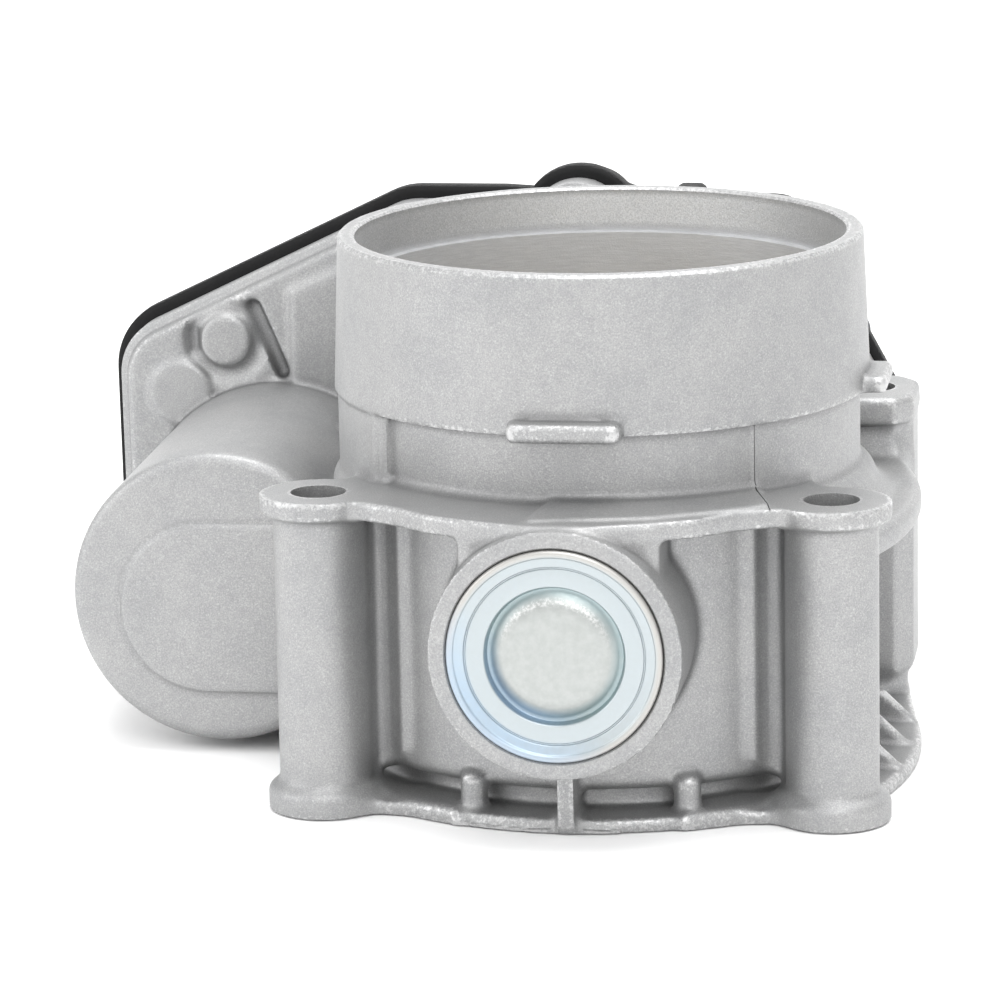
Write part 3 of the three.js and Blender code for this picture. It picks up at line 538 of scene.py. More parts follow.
def raw_object(name, points, faces):
    """A mesh object from points in mm, its normals turned outwards."""
    mesh = bpy.data.meshes.new(name)
    mesh.from_pydata(np.asarray(points) * MM, [], [tuple(int(i) for i in f) for f in faces])
    mesh.update()
    mesh.calc_loop_triangles()
    index = np.empty(len(mesh.loop_triangles) * 3, int)
    mesh.loop_triangles.foreach_get("vertices", index)
    at = np.asarray(points)[index].reshape(-1, 3, 3)
    volume = (at[:, 0] * np.cross(at[:, 1], at[:, 2])).sum()
    if volume < 0:
        mesh.flip_normals()
    return new_object(name, mesh)


def boolean(obj, tool, operation):
    """Joins or cuts obj by tool, which is used up."""
    step = obj.modifiers.new("step", "BOOLEAN")
    step.object, step.operation, step.solver = tool, operation, "MANIFOLD"
    depsgraph = bpy.context.evaluated_depsgraph_get()
    result = bpy.data.meshes.new_from_object(obj.evaluated_get(depsgraph))
    obj.modifiers.clear()
    old, obj.data = obj.data, result
    bpy.data.meshes.remove(old)
    bpy.data.objects.remove(tool, do_unlink=True)


def cut_by(obj, tools):
    """Cuts obj once by all the tools joined together."""
    whole = raw_object("tool", *tools[0])
    for tool in tools[1:]:
        boolean(whole, raw_object("tool", *tool), "UNION")
    boolean(obj, whole, "DIFFERENCE")


def parting_lines():
    """Hair-thin slots: the seam up the neck, and the step across the web."""
    step_start, step_end = (21.8, -24), (26, -38)
    step_turn = math.atan2(step_end[1] - step_start[1], step_end[0] - step_start[0])
    return [
        bar(NECK_R + 0.3, NECK_R + 1.3, -0.06, 0.06, 40.8, 48.4, math.radians(SEAM)),
        bar(0.4, 14.2, -0.09, 0.09, EAR_Z[1] - 0.15, EAR_Z[1] + 1.5, step_turn, step_start)]


def machined_tools():
    top = RIM_TOP
    air = [
        (0, -2), (BORE_R + 0.5, -2), (BORE_R + 0.5, 0), (BORE_R, 0.5), (BORE_R, 3), (BORE_R, 12),
        (BORE_R, 37), (BORE_R, 58), (BORE_R, MOUTH_Z - 0.1), (MOUTH_R, MOUTH_Z),
        (MOUTH_R, MOUTH_Z + 1.2), (MOUTH_R, top - 1.2), (MOUTH_R, top - 0.3), (MOUTH_R + 0.3, top),
        (MOUTH_R + 0.8, top), (COLLAR_TOP_R - 0.9, top), (COLLAR_TOP_R - 0.3, top),
        (COLLAR_TOP_R + 0.1, top - 0.4), (COLLAR_TOP_R + 2, top - 0.4), (COLLAR_TOP_R + 2, top + 3),
        (0, top + 3)]
    plug_seat = [
        (0, -48), (PLUG_R + 0.3, -48), (PLUG_R + 0.3, BOSS_FRONT), (PLUG_R + 0.1, BOSS_FRONT + 0.2),
        (PLUG_R + 0.05, PLUG_SEAT), (BALL_BEARING_R, PLUG_SEAT), (BALL_BEARING_R, -34.3), (7.6, -34.3),
        (7.6, -31.4), (SHAFT_HOLE_R, -31.4), (SHAFT_HOLE_R, -28), (0, -28)]
    rear_seat = [
        (0, 28), (SHAFT_HOLE_R, 28), (SHAFT_HOLE_R, 34), (NEEDLE_BEARING_R, 34), (NEEDLE_BEARING_R, 50),
        (0, 50)]
    tools = [
        lathe(air, "z", segments=288),
        lathe(plug_seat, "y", (0, SHAFT_Z), 160),
        lathe(rear_seat, "y", (0, SHAFT_Z), 96)]
    for x, y in BOLTS:
        hole = [(0, -2), (BOLT_R, -2), (BOLT_R, 0.5), (BOLT_R, 20), (BOLT_R, 39.2), (BOLT_R, 46), (0, 46)]
        tools.append(lathe(hole, "z", (x, y), 64))
    for (x, z), r, start in [
        *[(spot, SCREW_HOLE_R, 40.4) for spot in COVER_SCREWS],
        *[(spot, 1.6, 38.6) for spot in MOTOR_SCREWS],
        ((PIN_X, GEAR_PIN_Z), 1.95, 39.6),
    ]:
        tools.append(drill(r, start, 47, "y", (x, z), 40))
    points, faces = drill(1.62, -2, 5, "z", (0, 0), 32)
    tools.append((points[:, [2, 1, 0]] + STOP_SCREW_HOLE, faces))
    return tools + parting_lines()


def build_casting():
    body = Field(CAST_LOW - MARGIN, CAST_HIGH + MARGIN + (0, 0, 0.8), VOXEL)
    for change in (
            add_duct_and_flange, add_front_columns, add_plug_boss, add_top_web, add_rear_columns,
            add_motor_barrel, add_right_side, add_tray, add_neck, cut_machined_pads, cut_gear_space):
        change(body)
    body.cut(along_z(rect(-80, 45, -50, 50), -4, 0), 0.3)
    obj = raw_object("cast_housing", *body.surface())
    cut_by(obj, machined_tools())
    # The main cuts once more in the field, so that the relief knows the machined edges.
    for r, start, above in ((BORE_R, -3, 3), (MOUTH_R, MOUTH_Z, 3), (40, RIM_TOP, 4)):
        body.cut(along_z(disc(0, 0, r), start, RIM_TOP + above))
    body.cut(along_y(disc(0, SHAFT_Z, PLUG_R), -48, PLUG_SEAT))
    for x, y in BOLTS:
        body.cut(along_z(disc(x, y, BOLT_R), -2, 46))
    finish_mesh(obj, body, 0.85, 32)
    return obj


def finish_mesh(obj, body, reach, sharp_degrees):
    """Stores what the materials read at each vertex, and smooths the shading.

    relief is above zero on edges and below it in corners, hollow is below zero in wide hollows,
    machined is 1 in the bore, and mouth, painted light, is 1 on the wall above it, less towards both sides.
    """
    mesh = obj.data
    at = np.empty(len(mesh.vertices) * 3)
    mesh.vertices.foreach_get("co", at)
    at = at.reshape(-1, 3) / MM
    radius, height = np.hypot(at[:, 0], at[:, 1]), at[:, 2]
    relief = body.sample(at, body.relief(reach))
    hollow = body.sample(at, body.relief(HOLLOW_REACH))
    in_bore = (radius < MOUTH_R + 0.1) & (height < RIM_TOP - 0.8)
    relief[in_bore] = np.minimum(relief[in_bore], 0)
    hollow[in_bore] = 0
    # Painted shade: the step between bore and mouth is darkened as a corner.
    step = in_bore & (np.abs(height - MOUTH_Z) < 0.3) & (radius > BORE_R + 0.5)
    relief[step] = -0.3
    machined = in_bore & (height < MOUTH_Z + 0.01)
    # Painted light on the mouth wall: full in the middle, weaker towards both sides.
    mouth = (in_bore & ~machined) * np.interp(np.abs(at[:, 0]), (8, 28), (1.0, 0.35))
    values = {"relief": relief, "hollow": hollow, "machined": machined, "mouth": mouth}
    for name, value in values.items():
        mesh.attributes.new(name, "FLOAT", "POINT").data.foreach_set("value", value.astype(np.float32))
    smooth(obj, sharp_degrees)


# ---- gear cover ----


def behind_rim(depth):
    """Trims the top right of the cover, which the air inlet's rim hides in the photograph."""
    def limit(x, y, z):
        slanted = 0.879 * x + 0.477 * z - 47.2
        level = z - 63.5 - 3 * np.maximum(0.9 - x, 0)
        return np.maximum(slanted, level) + depth

    return limit


def add_cover_shell(shell):
    lip = along_y(polygon(tray_outline(COVER_LIP - 0.8, False), 0.8), *LIP_Y, 0.6)
    shell.add(within(lip, behind_rim(-1.25), 0.6))
    body = along_y(polygon(tray_outline(-1.8), 1.0), LIP_Y[1] - 0.5, COVER_OUTER, 2.0)
    shell.add(within(body, behind_rim(2.0), 1.0), 0.9)
    for round_patch in (disc(0, SHAFT_Z, 13.5), disc(MOTOR_X, MOTOR_Z, 15.5)):
        shell.add(along_y(round_patch, 58, COVER_OUTER + 0.5, 0.5), 0.6)
    for z in (9.0, 15.5, 33.5, 40.0):
        shell.add(along_y(rect(-62, 26, z - 0.5, z + 0.5), 58, COVER_OUTER + 0.4, 0.3), 0.4)
    deep, low = polygon(tray_outline(-0.4))[0], polygon(tray_outline(0.6))[0]
    for index, (sx, sz) in enumerate(COVER_SCREWS):
        end, edge = (SCREW_SEAT + 0.2, low) if index in EDGE_SCREWS else (COVER_OUTER + 0.5, deep)
        boss = along_y(disc(sx, sz, 5.6), LIP_Y[0] + 0.3, end, 0.4)
        shell.add(within(boss, lambda x, y, z, edge=edge: edge(x, z), 0.6), 0.6)


def add_connector_hood(shell):
    w, h = HOOD_W / 2, HOOD_H / 2
    hood = rect(HOOD_X - w, HOOD_X + w, HOOD_Z - h, HOOD_Z + h, 3.4)
    shell.add(along_y(hood, 58, HOOD_END, 0.5), 1.5)
    collar = rect(HOOD_X - w - 0.7, HOOD_X + w + 0.7, HOOD_Z - h - 0.7, HOOD_Z + h + 0.7, 3.5)
    shell.add(along_y(collar, 58, 63.2, 0.5), 0.8)
    top = HOOD_Z + h
    latch = rect(HOOD_X - 2.4, HOOD_X + 2.4, top - 1, top + 1.2, 0.6)
    catch = rect(HOOD_X - 2.4, HOOD_X + 2.4, top - 1, top + 1.4)
    shell.add(along_y(latch, 58, HOOD_END - 3, 0.4), 0.5)
    shell.add(along_y(catch, HOOD_END - 7, HOOD_END - 4, 0.3), 0.2)
    shell.add(along_y(rect(2.4, 6.8, 60.0, 63.95, 1.2), 50, COVER_OUTER, 0.9), 0.6)
    for side in (-1, 1):
        x = HOOD_X + side * (w + 0.3)
        shell.add(along_y(rect(x - 0.7, x + 0.7, HOOD_Z - 1.8, HOOD_Z + 1.8, 0.3), 58, 62.5, 0.3), 0.3)


def cut_cover_inside(shell):
    reliefs = [disc(x, z, SCREW_RELIEF_R) for x, z in COVER_SCREWS]
    space = minus(polygon(tray_outline(-TRAY_WALL)), *reliefs)
    shell.cut(along_y(space, 43, LIP_Y[1] + 0.3), 0.3)
    shell.cut(within(along_y(space, LIP_Y[1] - 0.6, COVER_INNER), behind_rim(3.6)), 0.3)
    for x, z in COVER_SCREWS:
        shell.cut(along_y(disc(x, z, 3.9), SCREW_SEAT - 0.05, 66), 0.3)
        shell.cut(along_y(disc(x, z, SCREW_CLEAR_R), 43, 66), 0.2)
    w, h = HOOD_W / 2 - HOOD_WALL, HOOD_H / 2 - HOOD_WALL
    socket = rect(HOOD_X - w, HOOD_X + w, HOOD_Z - h, HOOD_Z + h, 1.5)
    shell.cut(along_y(socket, 62.0, HOOD_END + 2), 0.5)
    floor = HOOD_Z - h
    for x in (HOOD_X - 7.0, HOOD_X + 7.0):
        key = rect(x - 0.5, x + 0.5, floor - 1, floor + 0.6)
        shell.add(along_y(key, 60, HOOD_END - 3, 0.2), 0.3)
    shell.add(along_y(minus(disc(PIN_X, GEAR_PIN_Z, 4.0), disc(PIN_X, GEAR_PIN_Z, 2.05)), 56.0, 59.6, 0.2))


def build_cover():
    shell = Field(COVER_LOW - MARGIN, COVER_HIGH + MARGIN, VOXEL)
    add_cover_shell(shell)
    add_connector_hood(shell)
    cut_cover_inside(shell)
    shell.cut(along_z(rect(-80, 45, 40, 80), -4, COVER_LOW[2]))
    obj = raw_object("cover_shell", *shell.surface())
    cut_by(obj, [bar(x - 0.55, x + 0.55, 58, 64, z - 0.8, z + 0.8) for x, z in PIN_CENTRES])
    finish_mesh(obj, shell, 1.0, 35)
    return obj


def build_seal():
    seal = Field((-74, SEAL_Y[0] - 1, -1), (36, SEAL_Y[1] + 1, 70), SEAL_VOXEL)
    seal.add(along_y(seal_band()[1], *SEAL_Y, 0.25))
    return smooth_object("cover_seal", *seal.surface())


# ---- turned and small pieces ----


def smooth_object(name, points, faces, sharp_degrees=28):
    obj = raw_object(name, points, faces)
    smooth(obj, sharp_degrees)
    return obj


def smooth(obj, sharp_degrees=28):
    obj.data.shade_smooth()
    obj.data.set_sharp_from_angle(angle=math.radians(sharp_degrees))


def rounded(profile, r, steps=4):
    """A turned profile whose corners off the axis are rounded to r."""
    result = []
    count = len(profile)
    for i, point in enumerate(profile):
        before, after = np.array(profile[i - 1]), np.array(profile[(i + 1) % count])
        point = np.array(point, float)
        if point[0] < 1e-6:
            result.append(tuple(point))
            continue
        back, on = before - point, after - point
        reach = min(r, 0.45 * np.linalg.norm(back), 0.45 * np.linalg.norm(on))
        a = point + back / np.linalg.norm(back) * reach
        b = point + on / np.linalg.norm(on) * reach
        for t in np.linspace(0, 1, steps + 1):
            result.append(tuple((1 - t) ** 2 * a + 2 * t * (1 - t) * point + t * t * b))
    return result


def build_plug():
    """Pressed cup plug: a stepped rim, a flat ring and a button in a round groove."""
    face = [
        (0, 0.75), (3.5, 0.78), (5.5, 0.86), (6.3, 1.0), (7.0, 1.35), (7.8, 1.75), (8.25, 1.75), (8.45, 0.8),
        (8.6, 0.6), (10.7, 0.6), (10.78, 0.78), (10.92, 0.78), (11.0, 0.52), (12.1, 0.35), (12.25, 0.1),
        (12.8, 0), (PLUG_R, 0.35)]
    outline = [(r, PLUG_FRONT + depth) for r, depth in face]
    outline += [(PLUG_R, -41.8), (12.2, -41.8), (12.2, -43.9), (9.4, -43.9), (8.2, -42.1), (0, -42.4)]
    return smooth_object("bearing_plug", *lathe(rounded(outline, 0.35), "y", (0, SHAFT_Z), 192), 40)


def valve_piece(name, points, faces, tools):
    """Cuts and smooths a piece built flat on the origin, and turns it to the valve's rest position."""
    obj = raw_object(name, points, faces)
    cut_by(obj, tools)
    smooth(obj)
    obj.data.transform(Matrix.Translation((0, 0, SHAFT_Z * MM)) @ Matrix.Rotation(REST_TILT, 4, "Y"))
    return obj


def plate_screw_holes(half, segments):
    places = (-PLATE_SCREW_Y, PLATE_SCREW_Y)
    return [drill(PLATE_HOLE_R, -half, half, "z", (0, y), segments) for y in places]


def build_plate():
    """The valve disc, stretched across the shaft so that it seals the bore at its closed tilt."""
    r, half, bevel = PLATE_R, PLATE_HALF, 0.25
    upper = [(0, half), (20, half), (r - bevel, half), (r, half - bevel)]
    points, faces = lathe(upper + [(at, -height) for at, height in reversed(upper)], "z", segments=256)
    points[:, 0] /= math.cos(CLOSED_TILT)
    return valve_piece("valve_disc", points, faces, plate_screw_holes(3, 48))


def build_shaft():
    """The shaft with its clip groove, the slot for the plate, the flat for the screws and their holes."""
    r, front, back, clip = SHAFT_R, -41.0, 55.2, (48.4, 48.8)
    outline = [
        (0, front), (r - 0.4, front), (r, front + 0.4), (r, clip[0]), (3.5, clip[0]), (3.5, clip[1]),
        (r, clip[1]), (r, back - 0.4), (r - 0.4, back), (0, back)]
    slot = bar(-6, 6, -29.9, 29.9, -SLOT_HALF, SLOT_HALF)
    flat = bar(-6, 6, -18, 18, 3.0, 6)
    tools = [slot, flat, *plate_screw_holes(7, 40)]
    return valve_piece("valve_shaft", *lathe(outline, "y", (0, 0), 96), tools)


def threaded(r, low, high, pitch):
    """Turned thread profile from low to high, as radius and height."""
    points = []
    for i in range(int((high - low) / pitch)):
        start = low + i * pitch
        points += [(r, start + 0.15 * pitch), (r, start + 0.35 * pitch), (r * 0.84, start + 0.7 * pitch)]
    return points


def star_recess(r, depth, top):
    """Six-lobed driver recess pointing down from top, as a closed prism about Z."""
    count = 72
    angles = np.linspace(0, 2 * math.pi, count, endpoint=False)
    radii = r * (1 + 0.13 * np.cos(6 * angles))
    rings = [np.stack([radii * np.cos(angles), radii * np.sin(angles), np.full(count, z)], 1)
             for z in (top - depth, top + 1)]
    faces = [list(range(count))[::-1], list(range(count, 2 * count))]
    faces += [(i, (i + 1) % count, count + (i + 1) % count, count + i) for i in range(count)]
    return np.concatenate(rings), faces


def build_plate_screw(name, y):
    outline = [(0, -4.1), (1.5, -4.1), (1.9, -3.7), *threaded(1.9, -3.5, 2.8, 0.7), (1.9, 3.1), (3.1, 3.1),
               (3.2, 3.3), (3.1, 3.9), (2.5, 4.35), (1.6, 4.5), (0, 4.5)]
    points, faces = star_recess(1.25, 0.9, 4.5)
    return valve_piece(name, *lathe(outline, "z", (0, y), 64), [(points + (0, y, 0), faces)])


def build_cover_screw(i, narrow=1.0):
    """Flanged pan-head screw along Y that fills the CAD screw's box, its width times narrow."""
    low, high = box_mm(f"cover_screw_{i}")
    (x, _, z), head_r = (low + high) / 2, (high[0] - low[0]) / 2
    seat, top, shank_r = SCREW_SEAT, high[1], SCREW_THREAD_R
    head = top - seat
    outline = [
        (0, low[1]), (shank_r * 0.8, low[1]), *threaded(shank_r, low[1] + 0.3, seat - 1.5, 0.8),
        (shank_r * 0.9, seat - 1.2), (shank_r * 0.9, seat), (head_r, seat), (head_r, seat + 0.18 * head),
        (head_r * 0.86, seat + 0.34 * head), (head_r * 0.8, seat + 0.75 * head),
        (head_r * 0.66, seat + 0.95 * head), (head_r * 0.5, top), (0, top)]
    obj = raw_object(f"cover_bolt_{i}", *lathe(outline, "z", segments=72))
    cut_by(obj, [star_recess(head_r * 0.4, 0.62 * head, top)])
    smooth(obj)
    obj.data.transform(Matrix((
        (narrow, 0, 0, x * MM), (0, 0, 1, 0), (0, -narrow, 0, z * MM), (0, 0, 0, 1))))
    return obj


def build_terminal(i):
    """Flat connector pin with a tapered tip."""
    low, high = box_mm(f"connector_pin_{i}")
    mid, half = (low + high) / 2, (high - low) / 2
    points, faces = [], []
    for y, share in [(low[1], 1.0), (high[1] - 1.2, 1.0), (high[1], 0.45)]:
        w, h = half[0] * share, half[2] * share
        c = 0.12 * share
        right = [(w - c, h), (w, h - c), (w, c - h), (w - c, -h)]
        ring = right + [(-x, z) for x, z in reversed(right)]
        points += [(mid[0] + a, y, mid[2] + b) for a, b in ring]
    for row in (0, 8):
        faces += [(row + i, row + (i + 1) % 8, row + 8 + (i + 1) % 8, row + 8 + i) for i in range(8)]
    faces += [tuple(range(8))[::-1], tuple(range(16, 24))]
    return smooth_object(f"terminal_{i}", points, faces)


# ---- materials ----


class Graph:
    """A material being built from nodes."""

    def __init__(self, name):
        self.material = bpy.data.materials.new(name)
        self.material.use_nodes = True
        self.tree = self.material.node_tree
        self.shader = self.tree.nodes["Principled BSDF"]
        self.coords = self.tree.nodes.new("ShaderNodeTexCoord").outputs["Object"]

    def put(self, socket, value):
        if isinstance(value, bpy.types.NodeSocket):
            self.tree.links.new(value, socket)
        else:
            socket.default_value = value

    def node(self, kind, settings=None, **inputs):
        node = self.tree.nodes.new("ShaderNode" + kind)
        for key, value in (settings or {}).items():
            setattr(node, key, value)
        for key, value in inputs.items():
            self.put(node.inputs[key.replace("_", " ")], value)
        return node

    def math(self, operation, a, b):
        node = self.node("Math", {"operation": operation})
        self.put(node.inputs[0], a)
        self.put(node.inputs[1], b)
        return node.outputs[0]

    def plus(self, a, b):
        return self.math("ADD", a, b)

    def times(self, a, b):
        return self.math("MULTIPLY", a, b)

    def noise(self, size_mm, detail=2.0, rough=0.5, stretch=None):
        """Noise with features of about size_mm, drawn out along an axis by stretch."""
        vector = self.coords
        if stretch:
            vector = self.node("Mapping", Vector=vector, Scale=stretch).outputs[0]
        return self.node("TexNoise", Vector=vector, Scale=1 / (size_mm * MM), Detail=detail,
                         Roughness=rough).outputs["Fac"]

    def range(self, value, low, high, to_low=0.0, to_high=1.0):
        return self.node("MapRange", Value=value, From_Min=low, From_Max=high, To_Min=to_low,
                         To_Max=to_high).outputs[0]

    def mix(self, factor, a, b):
        node = self.node("Mix", {"data_type": "RGBA"})
        for index, value in [(0, factor), (6, a), (7, b)]:
            if isinstance(value, tuple):
                value = (*value, 1.0)
            self.put(node.inputs[index], value)
        return node.outputs[2]

    def over(self, tone, colour, value, low, high, strength=1.0):
        """Lays colour over tone as value goes from low to high, up to strength."""
        return self.mix(self.range(value, low, high, 0.0, strength), tone, colour)

    def bump(self, height, strength, depth_mm):
        node = self.node("Bump", Strength=strength, Distance=depth_mm * MM, Height=height)
        self.put(self.shader.inputs["Normal"], node.outputs[0])

    def finish(self, colour, roughness, metallic):
        self.put(self.shader.inputs["Base Color"], colour)
        self.put(self.shader.inputs["Roughness"], roughness)
        self.put(self.shader.inputs["Metallic"], metallic)
        return self.material


def grey(value):
    return (value, value, value)


def cast_aluminium():
    """Blasted casting: fine grain and soft blotches, with painted highlights and some wear on the edges,
    painted shade in corners and hollows and painted light on the mouth wall.
    """
    g = Graph("cast_aluminium")
    relief, hollow, machined, mouth = (
        g.node("Attribute", {"attribute_name": name}).outputs["Fac"]
        for name in ("relief", "hollow", "machined", "mouth"))
    grain = g.noise(0.2, 2.0, 0.7)
    blotch = g.noise(9.0, 3.0)
    cloud = g.noise(1.6, 3.0, 0.6)
    tone = g.over((0.35, 0.353, 0.357), grey(0.4), blotch, 0.35, 0.65)
    tone = g.over(tone, (0.45, 0.45, 0.445), cloud, 0.35, 0.7, 0.45)
    tone = g.over(tone, (0.25, 0.252, 0.256), grain, 0.65, 0.35, 0.5)
    tone = g.over(tone, grey(0.66), grain, 0.6, 0.75, 0.38)
    # Painted shade: wide hollows darkened where shade falls.
    tone = g.over(tone, (0.13, 0.13, 0.132), hollow, -0.13, -0.42, 0.85)
    # Painted shade: corners and creases darkened.
    tone = g.over(tone, (0.12, 0.12, 0.122), relief, -0.06, -0.4, 0.75)
    # Painted highlight with some wear: edges lightened along a broken line.
    broken = g.plus(relief, g.range(g.noise(0.5, 3.0, 0.75), 0.3, 0.7, -0.16, 0.16))
    edge = g.range(broken, 0.27, 0.38)
    tone = g.mix(g.times(edge, 0.6), tone, grey(0.63))
    # Painted light: the mouth wall lightened, strongest in the middle.
    painted_mouth_light = g.over((0.62, 0.63, 0.64), (0.96, 0.97, 0.98), grain, 0.35, 0.7)
    tone = g.mix(g.times(mouth, 0.85), tone, painted_mouth_light)
    swirl = g.noise(0.7, 2.0, 0.6, (0.25, 0.25, 4.0))
    turned = g.over((0.58, 0.585, 0.595), (0.7, 0.705, 0.715), swirl, 0.3, 0.7)
    tone = g.mix(g.times(machined, 0.85), tone, turned)
    rough = g.plus(g.range(grain, 0.3, 0.7, 0.58, 0.42), g.times(edge, -0.16))
    height = g.plus(g.times(grain, 0.6), g.times(cloud, 0.5))
    g.bump(height, 0.45, 0.12)
    return g.finish(tone, rough, 0.8)


def zinc_plate():
    """Bright passivated zinc: pale, with painted shade in the teal groove, a painted bluish reflection low
    on the left and a painted glint on the button.
    """
    g = Graph("zinc_plate")
    flat = g.node("VectorMath", {"operation": "MULTIPLY_ADD"})
    for index, value in enumerate([g.coords, (1, 0, 1), (0, 0, -SHAFT_Z * MM)]):
        g.put(flat.inputs[index], value)
    radius = g.node("VectorMath", {"operation": "LENGTH"}, Vector=flat.outputs[0]).outputs["Value"]
    radius = g.times(radius, 1 / MM)
    across = g.node("SeparateXYZ", Vector=flat.outputs[0])
    low_left = g.plus(across.outputs[0], across.outputs[2])
    fine = g.noise(0.7, 3.0, 0.6)
    patina = g.over((0.39, 0.405, 0.395), (0.44, 0.455, 0.445), g.noise(1.1, 3.0, 0.65), 0.35, 0.65)
    tone = g.over(patina, (0.44, 0.485, 0.505), radius, 7.6, 8.3)
    tone = g.over(tone, (0.47, 0.46, 0.44), radius, 12.0, 12.6)
    # Painted reflection: a bluish tint low on the left of the outer ring and the groove wall.
    blue_reflection = g.range(low_left, -0.004, -0.015)
    tone = g.mix(g.times(blue_reflection, g.range(radius, 10.4, 11.2, 0.0, 0.6)), tone, (0.36, 0.50, 0.66))
    # Painted shade in the groove, over a teal tint; its lower left takes the painted reflection.
    groove = g.times(g.range(radius, 6.6, 7.7), g.range(radius, 8.6, 8.45))
    wall = g.mix(blue_reflection, (0.27, 0.355, 0.37), (0.25, 0.37, 0.54))
    tone = g.mix(g.times(groove, 0.8), tone, wall)
    # Painted glint on the upper half of the button's crown.
    crown = g.times(g.range(radius, 5.9, 6.4), g.range(radius, 7.2, 6.8))
    crown = g.times(crown, g.range(across.outputs[2], 0.001, 0.0055))
    glint = g.range(g.noise(0.35, 2.0, 0.7), 0.45, 0.62)
    tone = g.mix(g.times(crown, g.times(glint, 0.6)), tone, grey(0.8))
    tone = g.over(tone, (0.36, 0.38, 0.37), fine, 0.75, 0.35, 0.2)
    g.bump(g.plus(g.noise(0.5, 2.0), g.times(crown, glint)), 0.15, 0.06)
    return g.finish(tone, g.range(fine, 0.3, 0.7, 0.3, 0.42), 0.8)


def black_plastic():
    """Glass-filled nylon, moulded with a fine spark-eroded grain."""
    g = Graph("black_plastic")
    relief = g.node("Attribute", {"attribute_name": "relief"}).outputs["Fac"]
    grain = g.noise(0.25, 2.0, 0.6)
    cloud = g.noise(7.0, 3.0)
    tone = g.over((0.004, 0.004, 0.0043), (0.008, 0.008, 0.0085), cloud, 0.3, 0.7)
    # Painted highlight: edges lightened.
    tone = g.over(tone, (0.016, 0.016, 0.017), relief, 0.3, 0.6, 0.5)
    g.bump(grain, 0.35, 0.05)
    g.shader.inputs["Specular IOR Level"].default_value = 0.22
    return g.finish(tone, g.range(grain, 0.3, 0.7, 0.5, 0.66), 0.0)


def grained(name, light, dark, rough, metallic, size_mm=0.8, stretch=None, depth_mm=0.03, strength=0.3):
    """A finish of two tones mixed by fine and broad noise."""
    g = Graph(name)
    fine = g.noise(size_mm, 3.0, 0.6, stretch)
    broad = g.noise(size_mm * 9, 2.0)
    tone = g.mix(g.range(g.plus(fine, broad), 0.7, 1.3), dark, light)
    g.bump(fine, strength, depth_mm)
    return g.finish(tone, g.range(fine, 0.3, 0.7, rough + 0.07, rough - 0.06), metallic)


def circuit_board():
    """Green solder mask over copper tracks."""
    g = Graph("circuit_board")
    turned = g.node("Mapping", Vector=g.coords, Rotation=(math.pi / 2, 0, 0)).outputs[0]
    bricks = g.node("TexBrick", Vector=turned, Scale=1 / (6 * MM), Mortar_Size=0.06)
    tracks = bricks.outputs["Fac"]
    weave = g.noise(0.4, 2.0)
    tone = g.mix(tracks, (0.02, 0.13, 0.05), (0.04, 0.24, 0.10))
    tone = g.over(tone, (0.01, 0.08, 0.03), weave, 0.3, 0.7, 0.3)
    g.bump(g.plus(tracks, g.times(weave, 0.2)), 0.3, 0.05)
    return g.finish(tone, g.range(weave, 0.3, 0.7, 0.25, 0.4), 0.0)


def materials():
    """Every finish by its slot name."""
    turned = (1.0, 0.08, 1.0)
    plain = {
        "screw_zinc": ((0.74, 0.76, 0.77), (0.5, 0.53, 0.56), 0.33, 0.9, 0.5),
        "bright_steel": (grey(0.6), grey(0.42), 0.3, 1.0, 0.3, (0.1, 1.0, 1.0)),
        "bearing_steel": (grey(0.68), grey(0.52), 0.2, 1.0, 0.4, turned),
        "spring_steel": (grey(0.36), grey(0.22), 0.35, 0.95, 0.5),
        "plate_brass": ((0.70, 0.56, 0.30), (0.50, 0.38, 0.18), 0.34, 0.95, 0.5, (1, 0.06, 1)),
        "terminal_brass": ((0.75, 0.64, 0.42), (0.55, 0.45, 0.26), 0.3, 0.95, 0.4),
        "copper": ((0.64, 0.33, 0.18), (0.36, 0.17, 0.09), 0.36, 0.9, 0.45, turned),
        "brown_plastic": ((0.12, 0.07, 0.045), (0.07, 0.04, 0.025), 0.5, 0.0, 0.6),
        "gear_plastic": ((0.74, 0.71, 0.62), (0.62, 0.58, 0.48), 0.42, 0.0, 0.7),
        "seal_rubber": (grey(0.028), grey(0.014), 0.65, 0.0, 0.5),
        "magnet": (grey(0.10), grey(0.05), 0.55, 0.2, 0.35, None, 0.05, 0.5),
        "carbon": (grey(0.05), grey(0.02), 0.6, 0.1, 0.3, None, 0.05, 0.5),
        "chip": (grey(0.03), grey(0.015), 0.4, 0.0, 0.3),
    }
    special = {make.__name__: make() for make in (cast_aluminium, zinc_plate, black_plastic, circuit_board)}
    return special | {name: grained(name, *values) for name, values in plain.items()}


# ---- putting it together ----

FIXED, VALVE = "housing_assembly", "throttle_valve"
FINISH = materials()
for row in frame["record"]["subparts"]:
    for material_slot in frame["nodes"][row["node"]].material_slots:
        material_slot.material = FINISH[row["material_slot"]]


def piece(obj, body, slot, *nodes):
    """Gives a built piece its finish, its body and the CAD nodes it stands for."""
    obj.data.materials.clear()
    obj.data.materials.append(FINISH[slot])
    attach(obj, body)
    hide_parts(*nodes)


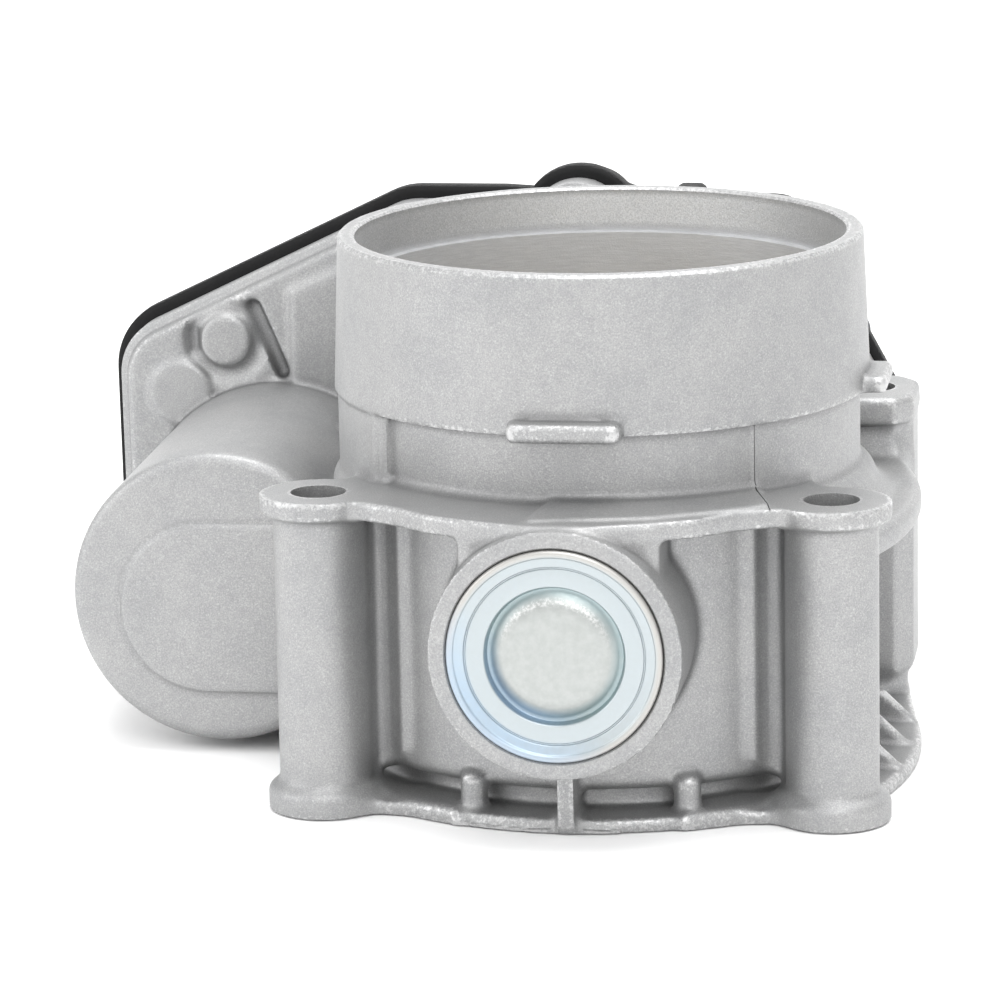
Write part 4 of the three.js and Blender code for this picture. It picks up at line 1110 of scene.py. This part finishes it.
piece(build_casting(), FIXED, "cast_aluminium", "housing")
piece(build_cover(), FIXED, "black_plastic", "gear_cover")
piece(build_seal(), FIXED, "seal_rubber", "gear_cover_seal")
piece(build_plug(), FIXED, "zinc_plate", "end_plug")
piece(build_plate(), VALVE, "plate_brass", "throttle_plate")
piece(build_shaft(), VALVE, "bright_steel", "throttle_shaft")
for side, y in (("front", -PLATE_SCREW_Y), ("rear", PLATE_SCREW_Y)):
    piece(build_plate_screw(f"valve_screw_{side}", y), VALVE, "bright_steel", f"plate_screw_{side}")
for i in range(1, 7):
    # Screw 4 is narrower than the others, so that its head stays behind the cover's edge.
    screw = build_cover_screw(i, 0.82 if i == 4 else 1.0)
    piece(screw, FIXED, "screw_zinc", f"cover_screw_{i}")
    piece(build_terminal(i), FIXED, "terminal_brass", f"connector_pin_{i}")

# ---- studio ----

AZIMUTH, ELEVATION, ROLL = math.radians(9.118), math.radians(13.047), math.radians(-1.16)
DISTANCE, TARGET = 0.629508, Vector((-0.013422, 0, 0.032799))
LENS, SENSOR = 177.52, 36.0
LIGHT_AIM = Vector((0, 0, 0.03))


def paper():
    g = Graph("paper")
    return g.finish(g.mix(g.noise(60, 2.0), grey(0.96), grey(0.9312)), 0.9, 0.0)


def build_backdrop():
    """Floor that curves up into a wall well behind the object."""
    near, far, width, height, r = -1.6, 1.1, 3.2, 2.2, 0.5
    floor_z = -0.00005
    rows = [(near, floor_z), *arc(far - r, floor_z + r, r, -90, 0, 12), (far, height)]
    points = [(x / MM, y / MM, z / MM) for y, z in rows for x in (-width, width)]
    faces = [(2 * i, 2 * i + 1, 2 * i + 3, 2 * i + 2) for i in range(len(rows) - 1)]
    obj = raw_object("backdrop", points, faces)
    obj.data.shade_smooth()
    obj.data.materials.append(paper())


def area_light(name, place, size, power):
    """A soft box of a size in metres, aimed at the object."""
    data = bpy.data.lights.new(name, "AREA")
    data.shape, data.size, data.size_y, data.energy = "RECTANGLE", *size, power
    light = new_object(name, data)
    light.location = place
    light.rotation_euler = (LIGHT_AIM - Vector(place)).to_track_quat("-Z", "Y").to_euler()


def build_camera():
    turn = (Matrix.Rotation(AZIMUTH, 4, "Z") @ Matrix.Rotation(math.pi / 2 - ELEVATION, 4, "X")
            @ Matrix.Rotation(ROLL, 4, "Z"))
    data = bpy.data.cameras.new("camera")
    data.lens, data.sensor_width, data.clip_end = LENS, SENSOR, 20
    camera = new_object("camera", data)
    camera.matrix_world = Matrix.Translation(TARGET + turn.col[2].xyz * DISTANCE) @ turn
    bpy.context.scene.camera = camera


def build_world():
    world = bpy.data.worlds.new("studio")
    world.use_nodes = True
    background = world.node_tree.nodes["Background"]
    background.inputs["Color"].default_value = (1, 1, 1, 1)
    background.inputs["Strength"].default_value = 1.15
    bpy.context.scene.world = world
    bpy.context.scene.view_settings.view_transform = "Standard"


build_backdrop()
area_light("front_box", (0.25, -1.0, 0.9), (0.9, 0.7), 4.9)
area_light("left_box", (-1.0, -0.5, 0.5), (0.7, 0.7), 3.3)
area_light("top_box", (0.1, 0.1, 1.2), (0.9, 0.9), 10.0)
build_world()
build_camera()
